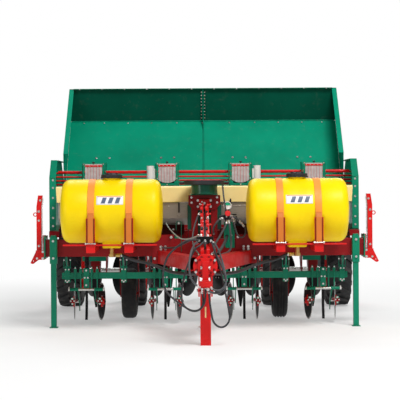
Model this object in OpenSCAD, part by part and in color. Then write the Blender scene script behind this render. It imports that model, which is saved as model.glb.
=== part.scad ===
// Four-row trailed planter with a tipping seed hopper, two liquid tanks,
// fertiliser boxes, cup-belt planting units, disc coulters and ridging discs.
// Millimetres, +Z up, +X to the machine's left hand as seen from the drawbar,
// +Y towards the rear. The ground is Z = 0.

/* [Rows and running gear] */
// Distance between two planted rows
row_pitch = 750; // [740:2:760]
// Outer diameter of the four rear wheels
rear_wheel_d = 800; // [780:5:800]
// Width of a rear tyre
rear_tyre_w = 270; // [240:5:272]
// Outer diameter of the two gauge wheels
gauge_wheel_d = 500; // [470:5:500]
// Diameter of the coulter discs
coulter_d = 360; // [320:5:364]
// Diameter of the ridging discs
ridger_d = 540; // [480:10:550]

/* [Frame] */
// Half length of the toolbar
bar_half = 1490; // [1485:1:1492]
// Side of the square toolbar tube
bar_s = 160; // [156:1:160]
// Wall of the toolbar tube
bar_t = 8; // [6:1:12]
// Side of the square parking leg tube
leg_s = 50; // [46:1:50]
// Inner diameter of the drawbar eye
eye_d = 50; // [40:1:54]

/* [Tanks and hopper] */
// Radius of the liquid tanks
tank_r = 290; // [280:1:290]
// Length of a liquid tank
tank_l = 930; // [900:5:930]
// Outer width of the tipping hopper
hopper_w = 3040; // [3000:2:3040]
// Sheet thickness of the hopper
hopper_t = 5; // [4:1:6]

/* [Hidden] */
$fn = 64;
shift_y = -700.7;                 // puts the origin under the middle of the machine
rows = [-1.5, -0.5, 0.5, 1.5];
row_x = [for (r = rows) r * row_pitch];
red = [0.75, 0.10, 0.10];
dark_red = [0.48, 0.06, 0.07];
green = [0.0, 0.47, 0.33];
zinc = [0.80, 0.80, 0.78];
black = [0.06, 0.06, 0.06];
g = 0.2;                          // joint line between plates that are bolted together

module at() { translate([0, shift_y, 0]) children(); }
module both() { children(); mirror([1, 0, 0]) children(); }
module bx(x, y, z) { translate([x[0], y[0], z[0]]) cube([x[1] - x[0], y[1] - y[0], z[1] - z[0]]); }
module xcyl(x, y, z, r) { translate([x[0], y, z]) rotate([0, 90, 0]) cylinder(r = r, h = x[1] - x[0]); }
module ycyl(x, y, z, r) { translate([x, y[1], z]) rotate([90, 0, 0]) cylinder(r = r, h = y[1] - y[0]); }
module zcyl(x, y, z, r) { translate([x, y, z[0]]) cylinder(r = r, h = z[1] - z[0]); }
module yz(x, p) { translate([x[0], 0, 0]) rotate([90, 0, 90]) linear_extrude(x[1] - x[0]) polygon(p); }
module xz(y, p) { translate([0, y[1], 0]) rotate([90, 0, 0]) linear_extrude(y[1] - y[0]) polygon(p); }
module xtube(x, y, z, t) { difference() { bx(x, y, z); bx([x[0] - 1, x[1] + 1], [y[0] + t, y[1] - t], [z[0] + t, z[1] - t]); } }
module ytube(x, y, z, t) { difference() { bx(x, y, z); bx([x[0] + t, x[1] - t], [y[0] - 1, y[1] + 1], [z[0] + t, z[1] - t]); } }
module ztube(x, y, z, t) { difference() { bx(x, y, z); bx([x[0] + t, x[1] - t], [y[0] + t, y[1] - t], [z[0] - 1, z[1] + 1]); } }
module hexy(x, y, z, r, h) { translate([x, y, z]) rotate([90, 0, 0]) cylinder(r = r, h = h, $fn = 6); }

// ---- frame -------------------------------------------------------------
module toolbar() at() color(dark_red) {
  xtube([-bar_half, bar_half], [0, bar_s], [660, 660 + bar_s], bar_t);
}

// One drawbar arm: a tube from the toolbar clamp to the head, cut square to the toolbar.
arm_a = atan2(318, 1130);
module drawbar_arm() {
  difference() {
    translate([390, 0, 0]) rotate([0, 0, -arm_a]) difference() {
      bx([-50, 50], [-1120, 60], [592, 712]);
      bx([-42, 42], [-1121, 61], [600, 704]);
    }
    bx([200, 600], [-14 - g, 200], [500, 900]);
    bx([-100, 62 + g], [-1500, -300], [500, 900]);
  }
  for (y = [[-14, -g], [bar_s + g, bar_s + 12]]) difference() {
    bx([290, 490], y, [590, 858]);
    for (x = [312, 468], z = [640, 838]) ycyl(x, [y[0] - 1, y[1] + 1], z, 8.5);
  }
}
module drawbar_arms() at() color(red) both() drawbar_arm();

stand_y = -1390;
stand_z = 450;
module drawbar_head() at() color(red) {
  ytube([-62, 62], [-1424, -1000], [588, 716], 8);
  ycyl(0, [-1440, -1424 - g], 652, 100);
  both() difference() {
    yz([47, 59], [[-1440, 587.8], [-1340, 587.8], [-1340, 460], [-1365, 400], [-1415, 400], [-1440, 460]]);
    xcyl([40, 70], stand_y, stand_z, 10.05);
  }
  both() bx([10, 44], [-1330, -1190], [716 + g, 730]);
}

module hitch_eye() at() color(red) {
  difference() {
    union() {
      bx([-25, 25], [-1500, -1452], [520, 690]);
      bx([-60, 60], [-1452, -1440 - g], [585, 720]);
      bx([-30, 30], [-1590, -1452], [500, 540]);
      zcyl(0, -1600, [500, 540], 55);
    }
    zcyl(0, -1600, [490, 550], eye_d / 2);
  }
}

// Braced mast above the toolbar, its yoke and the two stay tubes down to the drawbar.
module stay(x) {
  hull() { bx([x - 14, x + 14], [-1262, -1250], [731, 775]); bx([x - 14, x + 14], [22, 34], [1118, 1160]); }
}
module mast() at() {
  color(dark_red) {
    both() ztube([62, 122], [60, 120], [820 + g, 1228], 5);
    xz([48, 59.8], [[-100, 1090], [100, 1090], [150, 1140], [150, 1230], [-150, 1230], [-150, 1140]]);
  }
  color(red) {
    yz([-50, -38], [[34.5, 1110], [47.8, 1110], [47.8, 1195], [20, 1195], [20, 1165], [34.5, 1165]]);
    yz([38, 50], [[34.5, 1110], [47.8, 1110], [47.8, 1195], [20, 1195], [20, 1165], [34.5, 1165]]);
    stay(-24);
    stay(24);
  }
}

// Rear frame: two long beams, three cross members, axle hangers and wheel forks.
axle_y = 2080;
gauge_y = 820;
cyl_y = 2250;
cyl_z = 560;
ridge_y = 2450;
ridge_z = 640;
module axle_plate(x) {
  difference() {
    yz(x, [[2020, 819], [2140, 819], [2290, 620], [2290, 520], [2140, 340], [2020, 340]]);
    xcyl([x[0] - 5, x[1] + 5], axle_y, rear_wheel_d / 2, 25.05);
    xcyl([x[0] - 5, x[1] + 5], cyl_y, cyl_z, 15.05);
  }
}
module chassis() at() color(dark_red) {
  both() {
    ytube([520, 600], [bar_s + g, 2420], [700, 819.8], 6);
    difference() {
      yz([602, 612], [[2020, 700], [2140, 700], [2140, 340], [2020, 340]]);
      xcyl([590, 620], axle_y, rear_wheel_d / 2, 25.05);
    }
    axle_plate([1076, 1086]);
    axle_plate([1154, 1164]);
    for (x = [535, 575]) difference() {
      yz([x, x + 10], [[2330, 699.8], [2419, 699.8], [2480, 660], [2480, 615], [2400, 615]]);
      xcyl([x - 5, x + 15], ridge_y, ridge_z, 12.05);
    }
    // fork that carries a gauge wheel
    for (x = [row_pitch - 96, row_pitch + 86]) yz([x, x + 10], [[610, 819.6], [690, 819.6], [860, 230], [800, 210]]);
    xcyl([row_pitch - 86 + g, row_pitch + 86 - g], gauge_y, gauge_wheel_d / 2, 15);
  }
  xtube([-1533, 1533], [612, 692], [820, 880], 5);
  xtube([-1533, 1533], [1440, 1500], [820, 880], 5);
  xtube([-1533, 1533], [2040, 2120], [820, 900], 6);
  xtube([-519, 519], [2300, 2360], [720, 780], 5);
}

pivot = [1868, 1290];            // hopper hinge, Y and Z
panel = [[700, 700], [700, 1410], [850, 1590], [1740, 1590], [1980, 1330], [1980, 1180], [2140, 900], [2140, 826], [1180, 826], [1040, 700]];
module side_panels() at() color(green) both() {
  difference() {
    yz([1533.4, 1540], panel);
    xcyl([1530, 1545], pivot[0], pivot[1], 20.05);
  }
  bx([1474, 1533.2], [700, 706], [890, 1404]);
  bx([1474, 1533.2], [860, 1730], [1584, 1590]);
  yz([1474, 1533.2], [[702, 1410], [708, 1408], [854, 1583], [850, 1590]]);
}

// ---- liquid tanks --------------------------------------------------------
tank_x = 845;
tank_y = -276;
tank_z = 1090;
strap_dx = 170;
module tank_cradles() at() color(red) both() for (s = [-1, 1]) {
  x = tank_x + s * strap_dx;
  ytube([x - 30, x + 30], [-580, -g], [722, 782], 5);
  bx([x - 40, x - 34], [-592, -586], [790, 1030]);
  bx([x + 34, x + 40], [-592, -586], [790, 1030]);
  bx([x - 40, x + 40], [-585.8, -581], [722, 1030]);
  bx([x - 30, x + 30], [-400, -150], [782 + g, 796]);
  if (s > 0) bx([tank_x - 420, tank_x + 420], [-548, -536], [783, 797]);
}
// Half profile of a tank shell, [radius, along]
function shell(r, l) = [[0, -l / 2], [r - 130, -l / 2 + 8], [r - 60, -l / 2 + 26], [r - 18, -l / 2 + 62], [r, -l / 2 + 110],
  [r, l / 2 - 110], [r - 18, l / 2 - 62], [r - 60, l / 2 - 26], [r - 130, l / 2 - 8], [0, l / 2]];
module tank() at() color([0.97, 0.83, 0.0]) {
  difference() {
    union() {
      translate([tank_x, tank_y, tank_z]) rotate([0, 90, 0]) rotate_extrude() polygon(shell(tank_r, tank_l));
      zcyl(tank_x, tank_y, [1340, 1396], 80);
      bx([tank_x - 85, tank_x + 85], [tank_y - 60, tank_y + 60], [752, 830]);
    }
    translate([tank_x, tank_y, tank_z]) rotate([0, 90, 0]) rotate_extrude() polygon(shell(tank_r - 9, tank_l - 18));
    zcyl(tank_x, tank_y, [1300, 1400], 72);
  }
}
module tank_left() mirror([1, 0, 0]) tank();
module tank_right() tank();
module tank_straps() at() color([0.97, 0.55, 0.16]) both() for (s = [-1, 1]) {
  x = tank_x + s * strap_dx;
  difference() {
    xcyl([x - 30, x + 30], tank_y, tank_z, tank_r + 4);
    xcyl([x - 31, x + 31], tank_y, tank_z, tank_r + 0.4);
    bx([x - 40, x + 40], [tank_y - 400, tank_y + 400], [600, 1090]);
  }
  bx([x - 30, x + 30], [tank_y - tank_r - 5, tank_y - tank_r - 0.6], [798, 1090 - g]);
  bx([x - 30, x + 30], [tank_y + tank_r + 0.6, tank_y + tank_r + 5], [840, 1090 - g]);
  bx([x - 36, x + 36], [-580.8, -572], [798, 812]);
}
module tank_outlets() at() color([0.72, 0.55, 0.22]) both() {
  zcyl(tank_x, tank_y, [700, 752 - g], 22);
  zcyl(tank_x, tank_y, [670, 700 - g], 30);
  xcyl([tank_x - 72, tank_x - 30.2], tank_y, 685, 15);
  bx([14, 60], [-1060, -1022], [546, 587.8]);
}

// ---- fertiliser boxes --------------------------------------------------------
fert = [128, 1392];
module fertilizer_boxes() at() color([0.60, 0.57, 0.51]) both() {
  bx(fert, [200, 204], [1010, 1160]);
  bx(fert, [576, 580], [1010, 1160]);
  yz([fert[0], fert[0] + 4], [[204.2, 1010], [320, 952], [460, 952], [575.8, 1010], [575.8, 1160], [204.2, 1160]]);
  yz([fert[1] - 4, fert[1]], [[204.2, 1010], [320, 952], [460, 952], [575.8, 1010], [575.8, 1160], [204.2, 1160]]);
  yz([fert[0] + 4.2, fert[1] - 4.2], [[200, 1009.8], [204.5, 1009.8], [324, 950], [320, 946]]);
  yz([fert[0] + 4.2, fert[1] - 4.2], [[580, 1009.8], [575.5, 1009.8], [456, 950], [460, 946]]);
  bx([fert[0] + 4.2, fert[1] - 4.2], [324.4, 455.6], [946, 950]);
  xcyl([fert[0] + 40, fert[1] - 40], 592, 1150, 6);
}
module metering_housings() at() color(dark_red) {
  bx([-112, 112], [150, 154], [862, 1226]);          // guard between the boxes, and the cover of its drive
  bx([-60, 60], [118, 149.8], [880, 1060]);
  metering_side();
  mirror([1, 0, 0]) metering_side();
}
module metering_side() {
  for (r = [0.5, 1.5]) bx([r * row_pitch - 180, r * row_pitch + 180], [330, 450], [850, 945.8]);
  xcyl([r1(0.5) + 181, r1(1.5) - 181], 390, 890, 12);
  for (x = [150, 750, 1364]) yz([x, x + 6], [[20, 820.2], [158, 820.2], [329, 900], [329, 940], [205, 1000], [190, 1000]]);
}
function r1(k) = k * row_pitch;
module lid_shell(i) {
  intersection() {
    yz([100, 1420], [[176 + i, 1130 - i], [604 - i, 1130 - i], [616 - i, 1306 - i], [590, 1318 - i], [190, 1318 - i], [164 + i, 1306 - i]]);
    xz([100, 700], [[150 + i, 1120 - i], [1402 - i, 1120 - i], [1412 - i, 1330 - i], [112 + i, 1330 - i]]);
  }
}
module fertilizer_lid() at() color([0.94, 0.80, 0.48]) {
  difference() { union() { difference() { lid_shell(0); bx([0, 1500], [100, 700], [1100, 1164]); } }
    difference() { lid_shell(6); bx([0, 1500], [100, 700], [1100, 1150]); } }
}
module fertilizer_lid_left() mirror([1, 0, 0]) fertilizer_lid();
module fertilizer_lid_right() fertilizer_lid();

// ---- centre group ------------------------------------------------------------
wash_y = -35;
module wash_tank() at() color([0.0, 0.30, 0.20]) {
  difference() { zcyl(0, wash_y, [1238, 1326], 122); zcyl(0, wash_y, [1244, 1320], 116); }
  zcyl(0, wash_y, [1326 + g, 1368], 187);
  for (s = [-1, 1]) xcyl(s > 0 ? [188, 232] : [-232, -188], wash_y, 1346, 11);
  bx([-122, 122], [-120, 120], [1230.2, 1237.8]);
}
gauge_p = [216, -40, 1132];
module spray_valve_block() at() color([0.30, 0.30, 0.30]) {
  ycyl(gauge_p[0], [gauge_p[1] - 15, gauge_p[1] + 20], gauge_p[2], 37);
  bx([190, 232], [-40, 10], [990, 1094.8]);
  ycyl(gauge_p[0], [gauge_p[1] - 35, -40.2], 1060, 9.5);
  xcyl([232.2, 300], -15, 1020, 14);
  xcyl([140, 189.8], -15, 1030, 14);
  bx([196, 226], [10.2, 60], [822, 1010]);
  bx([-72, 72], [-1130, -1090], [828, 882]);
  for (x = [-50, 0, 50]) ycyl(x, [-1158.6, -1130], 850, 11);
  bx([-40, 40], [-1500, -1454], [480.4, 499.8]);
}
module regulator_knob() at() color([0.85, 0.12, 0.12]) difference() {
  ycyl(gauge_p[0], [gauge_p[1] - 85, gauge_p[1] - 20], 1060, 26);
  ycyl(gauge_p[0], [gauge_p[1] - 60, gauge_p[1]], 1060, 9.55);
}

// ---- planting units ----------------------------------------------------------
shaft_y = 1130;
shaft_z = 1470;
module guard_rods() at() color(red) for (z = [1345, 1384, 1424, 1464]) xcyl([-1533, 1533], 1272, z, 9);
module unit_housings() at() color(green) for (c = row_x) {
  for (s = [-1, 1]) difference() {
    yz([c + s * 117 - 4, c + s * 117 + 4], [[1030, 600], [1030, 1545], [1050, 1565], [1210, 1565], [1235, 1540], [1235, 1120], [1435, 900], [1435, 826], [1300, 600]]);
    xcyl([c + s * 117 - 9, c + s * 117 + 9], shaft_y, shaft_z, 15.05);
  }
  bx([c - 121, c + 121], [1022, 1029.8], [560, 1352]);
  bx([c - 112.8, c + 112.8], [1225, 1231], [900, 1340]);
  yz([c - 112.8, c + 112.8], [[1236, 860], [1240, 855], [1434, 1080], [1430, 1086]]);
}
module cup_belts() at() color([0.12, 0.12, 0.12]) for (c = row_x) {
  difference() {
    union() { bx([c - 70, c + 70], [1070, 1190], [660, 1470]); xcyl([c - 70, c + 70], shaft_y, 1470, 60); xcyl([c - 70, c + 70], shaft_y, 660, 60); }
    bx([c - 71, c + 71], [1075, 1185], [660, 1470]);
    xcyl([c - 71, c + 71], shaft_y, 1470, 55);
    xcyl([c - 71, c + 71], shaft_y, 660, 55);
  }
  xcyl([c - 70, c + 70], shaft_y, 660, 54);
}
module belt_drive_shaft() at() color(zinc) {
  xcyl([-1500, 1500], shaft_y, shaft_z, 15);
  for (c = row_x) difference() { xcyl([c - 68, c + 68], shaft_y, shaft_z, 54.4); xcyl([c - 69, c + 69], shaft_y, shaft_z, 15); }
}
module unit_curtains() at() color([0.72, 0.70, 0.74]) for (c = row_x) xz([1008, 1020],
  [[c - 86, 1556], [c - 88, 1470], [c - 84, 1400], [c - 66, 1366], [c - 40, 1355], [c + 40, 1355], [c + 66, 1366], [c + 84, 1400], [c + 88, 1470], [c + 86, 1556]]);
module belt_motors() at() color([0.90, 0.89, 0.88]) both() {
  zcyl(545, 1060, [1392, 1530], 38);
  bx([496.2, 520], [1040, 1080], [1400, 1500]);
}
module furrow_openers() at() color([0.10, 0.10, 0.10]) for (c = row_x) {
  bx([c - 45, c + 45], [1140, 1290], [425, 599.8]);
  intersection() {
    xz([1040, 1500], [[c - 58, 424.8], [c - 8, 70], [c + 8, 70], [c + 58, 424.8]]);
    yz([c - 100, c + 100], [[1100, 424.8], [1210, 70], [1400, 70], [1400, 424.8]]);
  }
}

// ---- coulters ------------------------------------------------------------
by = 200;                         // middle of the coulter bars
cy = 330;                         // middle of the coulter discs
cz = 210;
toe = 8;
disc_dx = 130;
module coulter_bars() at() color([0.0, 0.40, 0.28]) {
  both() {
    xtube([167, 1357], [by - 30, by + 30], [440, 500], 5);
    for (x = [196, 770, 1306]) {
      yz([x - 5, x + 5], [[60, 659.8], [158, 659.8], [by + 25, 560], [by + 25, 500.2], [by - 25, 500.2], [60, 620]]);
      bx([x - 25, x + 25], [by - 36, by - 30.2], [405, 560]);
      bx([x - 25, x + 25], [by + 30.2, by + 36], [405, 560]);
    }
  }
  for (c = row_x) {
    bx([c - 26, c + 26], [by - 42, by - 30.2], [356, 540]);
    bx([c - 26, c + 26], [by + 30.2, by + 42], [400, 540]);
    zcyl(c, 215, [540.2, 715], 17);
  }
}
module coulter_arms() at() for (c = row_x) {
  color(zinc) xcyl([c - 75.8, c + 75.8], by - 37, 340, 13);
  color(green) for (s = [-1, 1]) {
    xcyl(s > 0 ? [c + 84.2, c + 158] : [c - 158, c - 84.2], by - 37, 340, 14);
    yz([c + s * 80 - 4, c + s * 80 + 4], [[by - 55, 322], [by - 55, 358], [by - 19, 358], [cy + 22, cz + 10], [cy + 22, cz - 22], [cy - 14, cz - 22]]);
    yz([c + s * 92 - 3, c + s * 92 + 3], [[cy + 26, 330], [cy + 66, 330], [cy + 150, 110], [cy + 100, 110]]);
    translate([c + s * disc_dx, cy, cz]) rotate([0, 0, -s * toe]) xcyl(s > 0 ? [-43, 34] : [-34, 43], 0, 0, 12);
  }
  color([0.92, 0.92, 0.90]) for (s = [-1, 1]) xcyl(s > 0 ? [c + 158.2, c + 172] : [c - 172, c - 158.2], by - 37, 340, 15);
}
module coulter_tines() at() color([0.13, 0.13, 0.13]) for (c = row_x) {
  yz([c - 12, c + 12], [[by - 18, 439.8], [by + 18, 439.8], [by + 6, 200.1], [by - 20, 200.1]]);
  yz([c - 12, c + 12], [[by - 20, 199.9], [by + 6, 199.9], [by - 28, 52], [by - 54, 52]]);
}
module coulter_disc(i) at() {
  c = row_x[floor(i / 2)];
  s = i % 2 == 0 ? -1 : 1;
  translate([c + s * disc_dx, cy, cz]) rotate([0, 0, -s * toe]) mirror([s < 0 ? 1 : 0, 0, 0]) {
    color([0.10, 0.10, 0.10]) difference() {
      rotate([0, 90, 0]) rotate_extrude() polygon([[12.05, -2.5], [coulter_d / 2 - 14, -2.5], [coulter_d / 2, 0], [coulter_d / 2 - 14, 2.5], [12.05, 2.5]]);
    }
    color([0.75, 0.1, 0.1]) rotate([0, 90, 0]) rotate_extrude() polygon([[12.05, 2.5 + g], [55, 2.5 + g], [50, 12], [30, 18], [26, 32], [12.05, 32]]);
  }
}
module coulter_disc_1() coulter_disc(0);
module coulter_disc_2() coulter_disc(1);
module coulter_disc_3() coulter_disc(2);
module coulter_disc_4() coulter_disc(3);
module coulter_disc_5() coulter_disc(4);
module coulter_disc_6() coulter_disc(5);
module coulter_disc_7() coulter_disc(6);
module coulter_disc_8() coulter_disc(7);

// ---- marker arms, parking legs, fasteners -------------------------------------
mk = [1560, 84, 672];             // marker hinge
module marker_brackets() at() both() {
  color(green) bx([1490 + g, 1502], [-20, 180], [644, 856]);
  color(red) difference() {
    union() { bx([1502 + g, 1585], [20, 32], [632, 720]); bx([1502 + g, 1512], [32.2, 136], [664, 860]); bx([1502 + g, 1585], [136.2, 148], [632, 720]); }
    ycyl(mk[0], [10, 160], mk[2], 10.05);
  }
  color(zinc) { zcyl(1524, 84, [770, 850], 7); bx([1513, 1535], [70, 98], [850.2, 862]); }
}
module marker_arm() at() color(red) {
  difference() {
    union() {
      bx([1538, 1582], [62, 106], [650, 1130]);
      xz([62, 106], [[1538, 1130], [1582, 1130], [1566, 1236], [1526, 1236]]);
      xz([50, 61.8], [[1538, 720], [1582, 720], [1640, 600], [1618, 590], [1538, 650]]);
      xz([106.2, 118], [[1538, 720], [1582, 720], [1640, 600], [1618, 590], [1538, 650]]);
    }
    bx([1543, 1577], [67, 101], [700, 1125]);
    ycyl(1616, [40, 130], 618, 8);
  }
  ycyl(mk[0], [14, 154], mk[2], 10);
  difference() { ycyl(1596, [78, 90], 1056, 20); ycyl(1596, [70, 100], 1056, 12); }
}
module marker_arm_left() mirror([1, 0, 0]) marker_arm();
module marker_arm_right() marker_arm();

leg_x = 1410;
module leg_sleeves() at() color(green) both() {
  ztube([leg_x - 33, leg_x + 33], [-66, -g], [598, 846], 7);
}
module leg() at() color(green) {
  ztube([leg_x - leg_s / 2, leg_x + leg_s / 2], [-33 - leg_s / 2, -33 + leg_s / 2], [7, 862], 4);
  bx([leg_x - 38, leg_x + 38], [-75, 9], [0, 6.8]);
}
module leg_left() mirror([1, 0, 0]) leg();
module leg_right() leg();

module frame_bolts() at() color(zinc) {
  both() {
    for (z = [630, 790]) hexy(leg_x, -66 - g, z + 20, 12, 12);
    for (x = [312, 468], z = [640, 838]) { ycyl(x, [-36, 198], z, 8); hexy(x, -14 - g, z, 14, 11); hexy(x, bar_s + 12 + g + 11, z, 14, 11); }
    for (x = [196, 770, 1306], dx = [-15, 15], z = [424, 530]) hexy(x + dx, by - 36 - g, z, 8, 8);
    for (c = [0.5, 1.5], z = [382, 522]) hexy(c * row_pitch, by - 42 - g, z, 10, 9);
    for (z = [604, 700]) hexy(78, -1440 - g, z, 11, 10);
  }
}

// ---- hoses: round tubes swept along hand-set points -----------------------------
function unit(v) = v / norm(v);
function tangent(p, i) = unit(p[min(i + 1, len(p) - 1)] - p[max(i - 1, 0)]);
function cm(p, i, t) = 0.5 * ((2 * p[i]) + (p[i + 1] - p[max(i - 1, 0)]) * t
  + (2 * p[max(i - 1, 0)] - 5 * p[i] + 4 * p[i + 1] - p[min(i + 2, len(p) - 1)]) * t * t
  + (3 * p[i] - p[max(i - 1, 0)] - 3 * p[i + 1] + p[min(i + 2, len(p) - 1)]) * t * t * t);
function smooth(p, n) = [for (i = [0 : len(p) - 2], k = [0 : n - 1]) cm(p, i, k / n), p[len(p) - 1]];
module hose(pts, d, n = 2) {
  p = smooth(pts, n);
  m = 8;
  ref = [0.35, 0.75, 0.56];
  v = [for (i = [0 : len(p) - 1]) let (t = tangent(p, i), a = unit(cross(t, ref)), b = cross(t, a))
    for (k = [0 : m - 1]) p[i] + d / 2 * (cos(360 * k / m) * a + sin(360 * k / m) * b)];
  f = concat([[for (k = [0 : m - 1]) k]], [[for (k = [m - 1 : -1 : 0]) (len(p) - 1) * m + k]],
    [for (i = [0 : len(p) - 2], k = [0 : m - 1], q = [0, 1]) q == 0 ? [i * m + k, (i + 1) * m + k, (i + 1) * m + (k + 1) % m] : [i * m + k, (i + 1) * m + (k + 1) % m, i * m + (k + 1) % m]]);
  polyhedron(v, f);
}
route_left = [[-50, -1160, 850], [-54, -1200, 852], [-100, -1240, 860], [-184, -1262, 838], [-308, -1290, 728], [-350, -1320, 571],
  [-325, -1350, 446], [-238, -1390, 364], [-134, -1430, 297], [-50, -1462, 272], [-8, -1474, 310], [-22, -1476, 400], [-26, -1476, 478]];
route_centre = [[0, -1160, 850], [-4, -1200, 846], [-40, -1240, 815], [-93, -1270, 770], [-164, -1320, 600], [-193, -1370, 458],
  [-190, -1440, 360], [-150, -1475, 310], [-85, -1500, 288], [-30, -1512, 315], [-4, -1500, 385], [0, -1476, 478]];
route_right = [[50, -1160, 850], [54, -1200, 846], [70, -1240, 800], [95, -1280, 720], [128, -1330, 600], [160, -1390, 450], [188, -1440, 300],
  [192, -1465, 190], [165, -1480, 120], [120, -1485, 112], [80, -1482, 160], [52, -1478, 260], [34, -1476, 370], [26, -1476, 478]];
module hose_left_loop() at() color(black) hose(route_left, 16);
module hose_centre_drop() at() color(black) hose(route_centre, 16);
module hose_right_loop() at() color(black) hose(route_right, 16);
suction = [[770, -276, 685], [750, -276, 685], [712, -280, 668], [640, -296, 640], [530, -340, 618], [430, -420, 590], [330, -520, 556], [235, -640, 542], [140, -790, 545], [72, -925, 558], [42, -998, 564], [42, -1018.6, 564]];
module suction_hoses() at() color(black) { hose(suction, 28); mirror([1, 0, 0]) hose(suction, 28); }

// ---- hopper -------------------------------------------------------------------
hw = hopper_w / 2;
floor_n = [0.798, -0.602];        // outward normal of the floor, Y and Z
module hopper() at() color(green) {
  for (s = [-1, 1]) {
    x = s > 0 ? [hw - hopper_t, hw] : [-hw, -hw + hopper_t];
    yz(x, [[1762, 1682], [2426, 2440], [2520, 2076], [1829, 1160], [1806, 1290]]);
    xx = s > 0 ? [hw - 52, hw - hopper_t - g] : [-hw + hopper_t + g, -hw + 52];
    yz(xx, [[1762, 1682], [2420, 2434], [2425, 2429], [1767, 1677]]);
    xcyl(s > 0 ? [hw + g, hw + 22] : [-hw - 22, -hw - g], pivot[0], pivot[1], 20);
    // ears for the cylinder eye
    for (e = [1120 - 36, 1120 + 26]) difference() {
      yz(s > 0 ? [e, e + 10] : [-e - 10, -e], [[2300, 1776], [2368, 1866], [2410, 1790], [2380, 1730], [2330, 1730]]);
      xcyl([s * 1120 - 60, s * 1120 + 60], 2360, 1764, 18);
    }
  }
  i = hw - hopper_t - g;
  yz([-i, i], [[2520, 2076], [1829, 1160], [1833, 1157], [2524, 2073]]);
  yz([-i, i], [[2520, 2077], [2426, 2440], [2431, 2441.3], [2525, 2078.3]]);
  bx([-hw + 53, hw - 53], [2378, 2425], [2434, 2440]);
  for (x = [-3]) yz([x, x + 6], [[2515, 2076], [2422, 2433], [2400, 2433], [2440, 2180], [2440, 1976]]);
  for (x = [-1050, -360, 345, 1035]) yz([x, x + 15], [[2524.5, 2072], [1834, 1156], [1874, 1126], [2564, 2042]]);
}

cyl_a = 84.8;
module along() { translate([0, cyl_y, cyl_z]) rotate([cyl_a - 90, 0, 0]) children(); }
module hopper_barrels() at() color(dark_red) both() along() translate([1120, 0, 0]) {
  difference() {
    union() { xcyl([-22, 22], 0, 0, 30); zcyl(0, 0, [0, 640], 32); }
    zcyl(0, 0, [60, 700], 18.05);
  }
  xcyl([-46, 46], 0, 0, 15);
}
module hopper_rods() at() color(zinc) both() along() translate([1120, 0, 0]) difference() {
  union() { zcyl(0, 0, [545, 1190], 18); xcyl([-16, 16], 0, 1209, 26); }
  xcyl([-20, 20], 0, 1209, 12);
}

module tank_cap() at() color(black) {
  zcyl(tank_x, tank_y, [1400 + g, 1424], 97);
  for (a = [0 : 30 : 330]) translate([tank_x, tank_y, 1388]) rotate([0, 0, a]) linear_extrude(12) {
    polygon([for (q = [[85, -14.9], [a % 60 == 0 ? 103 : 99, -14.9], [a % 60 == 0 ? 103 : 99, 14.9], [85, 14.9]]) [q[0] * cos(q[1]), q[0] * sin(q[1])]]);
  }
}
module tank_cap_left() mirror([1, 0, 0]) tank_cap();
module tank_cap_right() tank_cap();

module parking_stand() at() color(red) {
  difference() {
    union() { bx([-43.5, 43.5], [stand_y - 25, stand_y + 25], [0, stand_z]); xcyl([-43.5, 43.5], stand_y, stand_z, 25); }
    bx([-6, 6], [stand_y - 26, stand_y + 26], [227, 317]);
    bx([-37, 37], [stand_y - 18, stand_y + 18], [12, 215]);
    xcyl([-62, 62], stand_y, stand_z, 10);
  }
  xcyl([-64, 64], stand_y, stand_z, 10);
  xcyl([-66, -43.5 - g], stand_y, 148, 7);
}

// ---- wheels -------------------------------------------------------------------
module tyre(x, r, w, ri) {
  translate([x, 0, 0]) rotate([0, 90, 0]) rotate_extrude() polygon([[ri, -w / 2 + 14], [ri + 12, -w / 2 + 2], [ri + 60, -w / 2], [r - 34, -w / 2 + 4],
    [r - 8, -w / 2 + 22], [r, -w / 2 + 60], [r, w / 2 - 60], [r - 8, w / 2 - 22], [r - 34, w / 2 - 4], [ri + 60, w / 2], [ri + 12, w / 2 - 2], [ri, w / 2 - 14]]);
}
module rim(x, ri, w) {
  translate([x, 0, 0]) rotate([0, 90, 0]) rotate_extrude() polygon([[25 + g, -14], [60, -14], [70, -6], [ri - 26, -6], [ri - 22, -w / 2 + 24], [ri - g, -w / 2 + 16],
    [ri - g, w / 2 - 16], [ri - 22, w / 2 - 24], [ri - 26, 6], [70, 6], [60, 14], [25 + g, 14]]);
}
module rear_wheels() at() translate([0, axle_y, rear_wheel_d / 2]) {
  for (x = [770, 1470]) {
    color(black) tyre(x, rear_wheel_d / 2, rear_tyre_w, 210);
    color(red) rim(x, 210, rear_tyre_w);
  }
  color(zinc) xcyl([615, 1500], 0, 0, 25);
}
module rear_wheels_left() mirror([1, 0, 0]) rear_wheels();
module rear_wheels_right() rear_wheels();
module gauge_wheel() at() translate([row_pitch, gauge_y, gauge_wheel_d / 2]) rotate([0, 90, 0]) {
  r = gauge_wheel_d / 2;
  color(black) rotate_extrude() polygon([[150, -60], [165, -72], [r - 40, -75], [r - 10, -62], [r, -40], [r, 40], [r - 10, 62], [r - 40, 75], [165, 72], [150, 60]]);
  color(red) rotate_extrude() polygon([[15.06, -45], [32, -45], [32, -5], [130, -5], [134, -56], [150 - g, -60], [150 - g, 60], [134, 56], [130, 5], [32, 5], [32, 45], [15.06, 45]]);
}
module gauge_wheel_left() mirror([1, 0, 0]) gauge_wheel();
module gauge_wheel_right() gauge_wheel();

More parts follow.
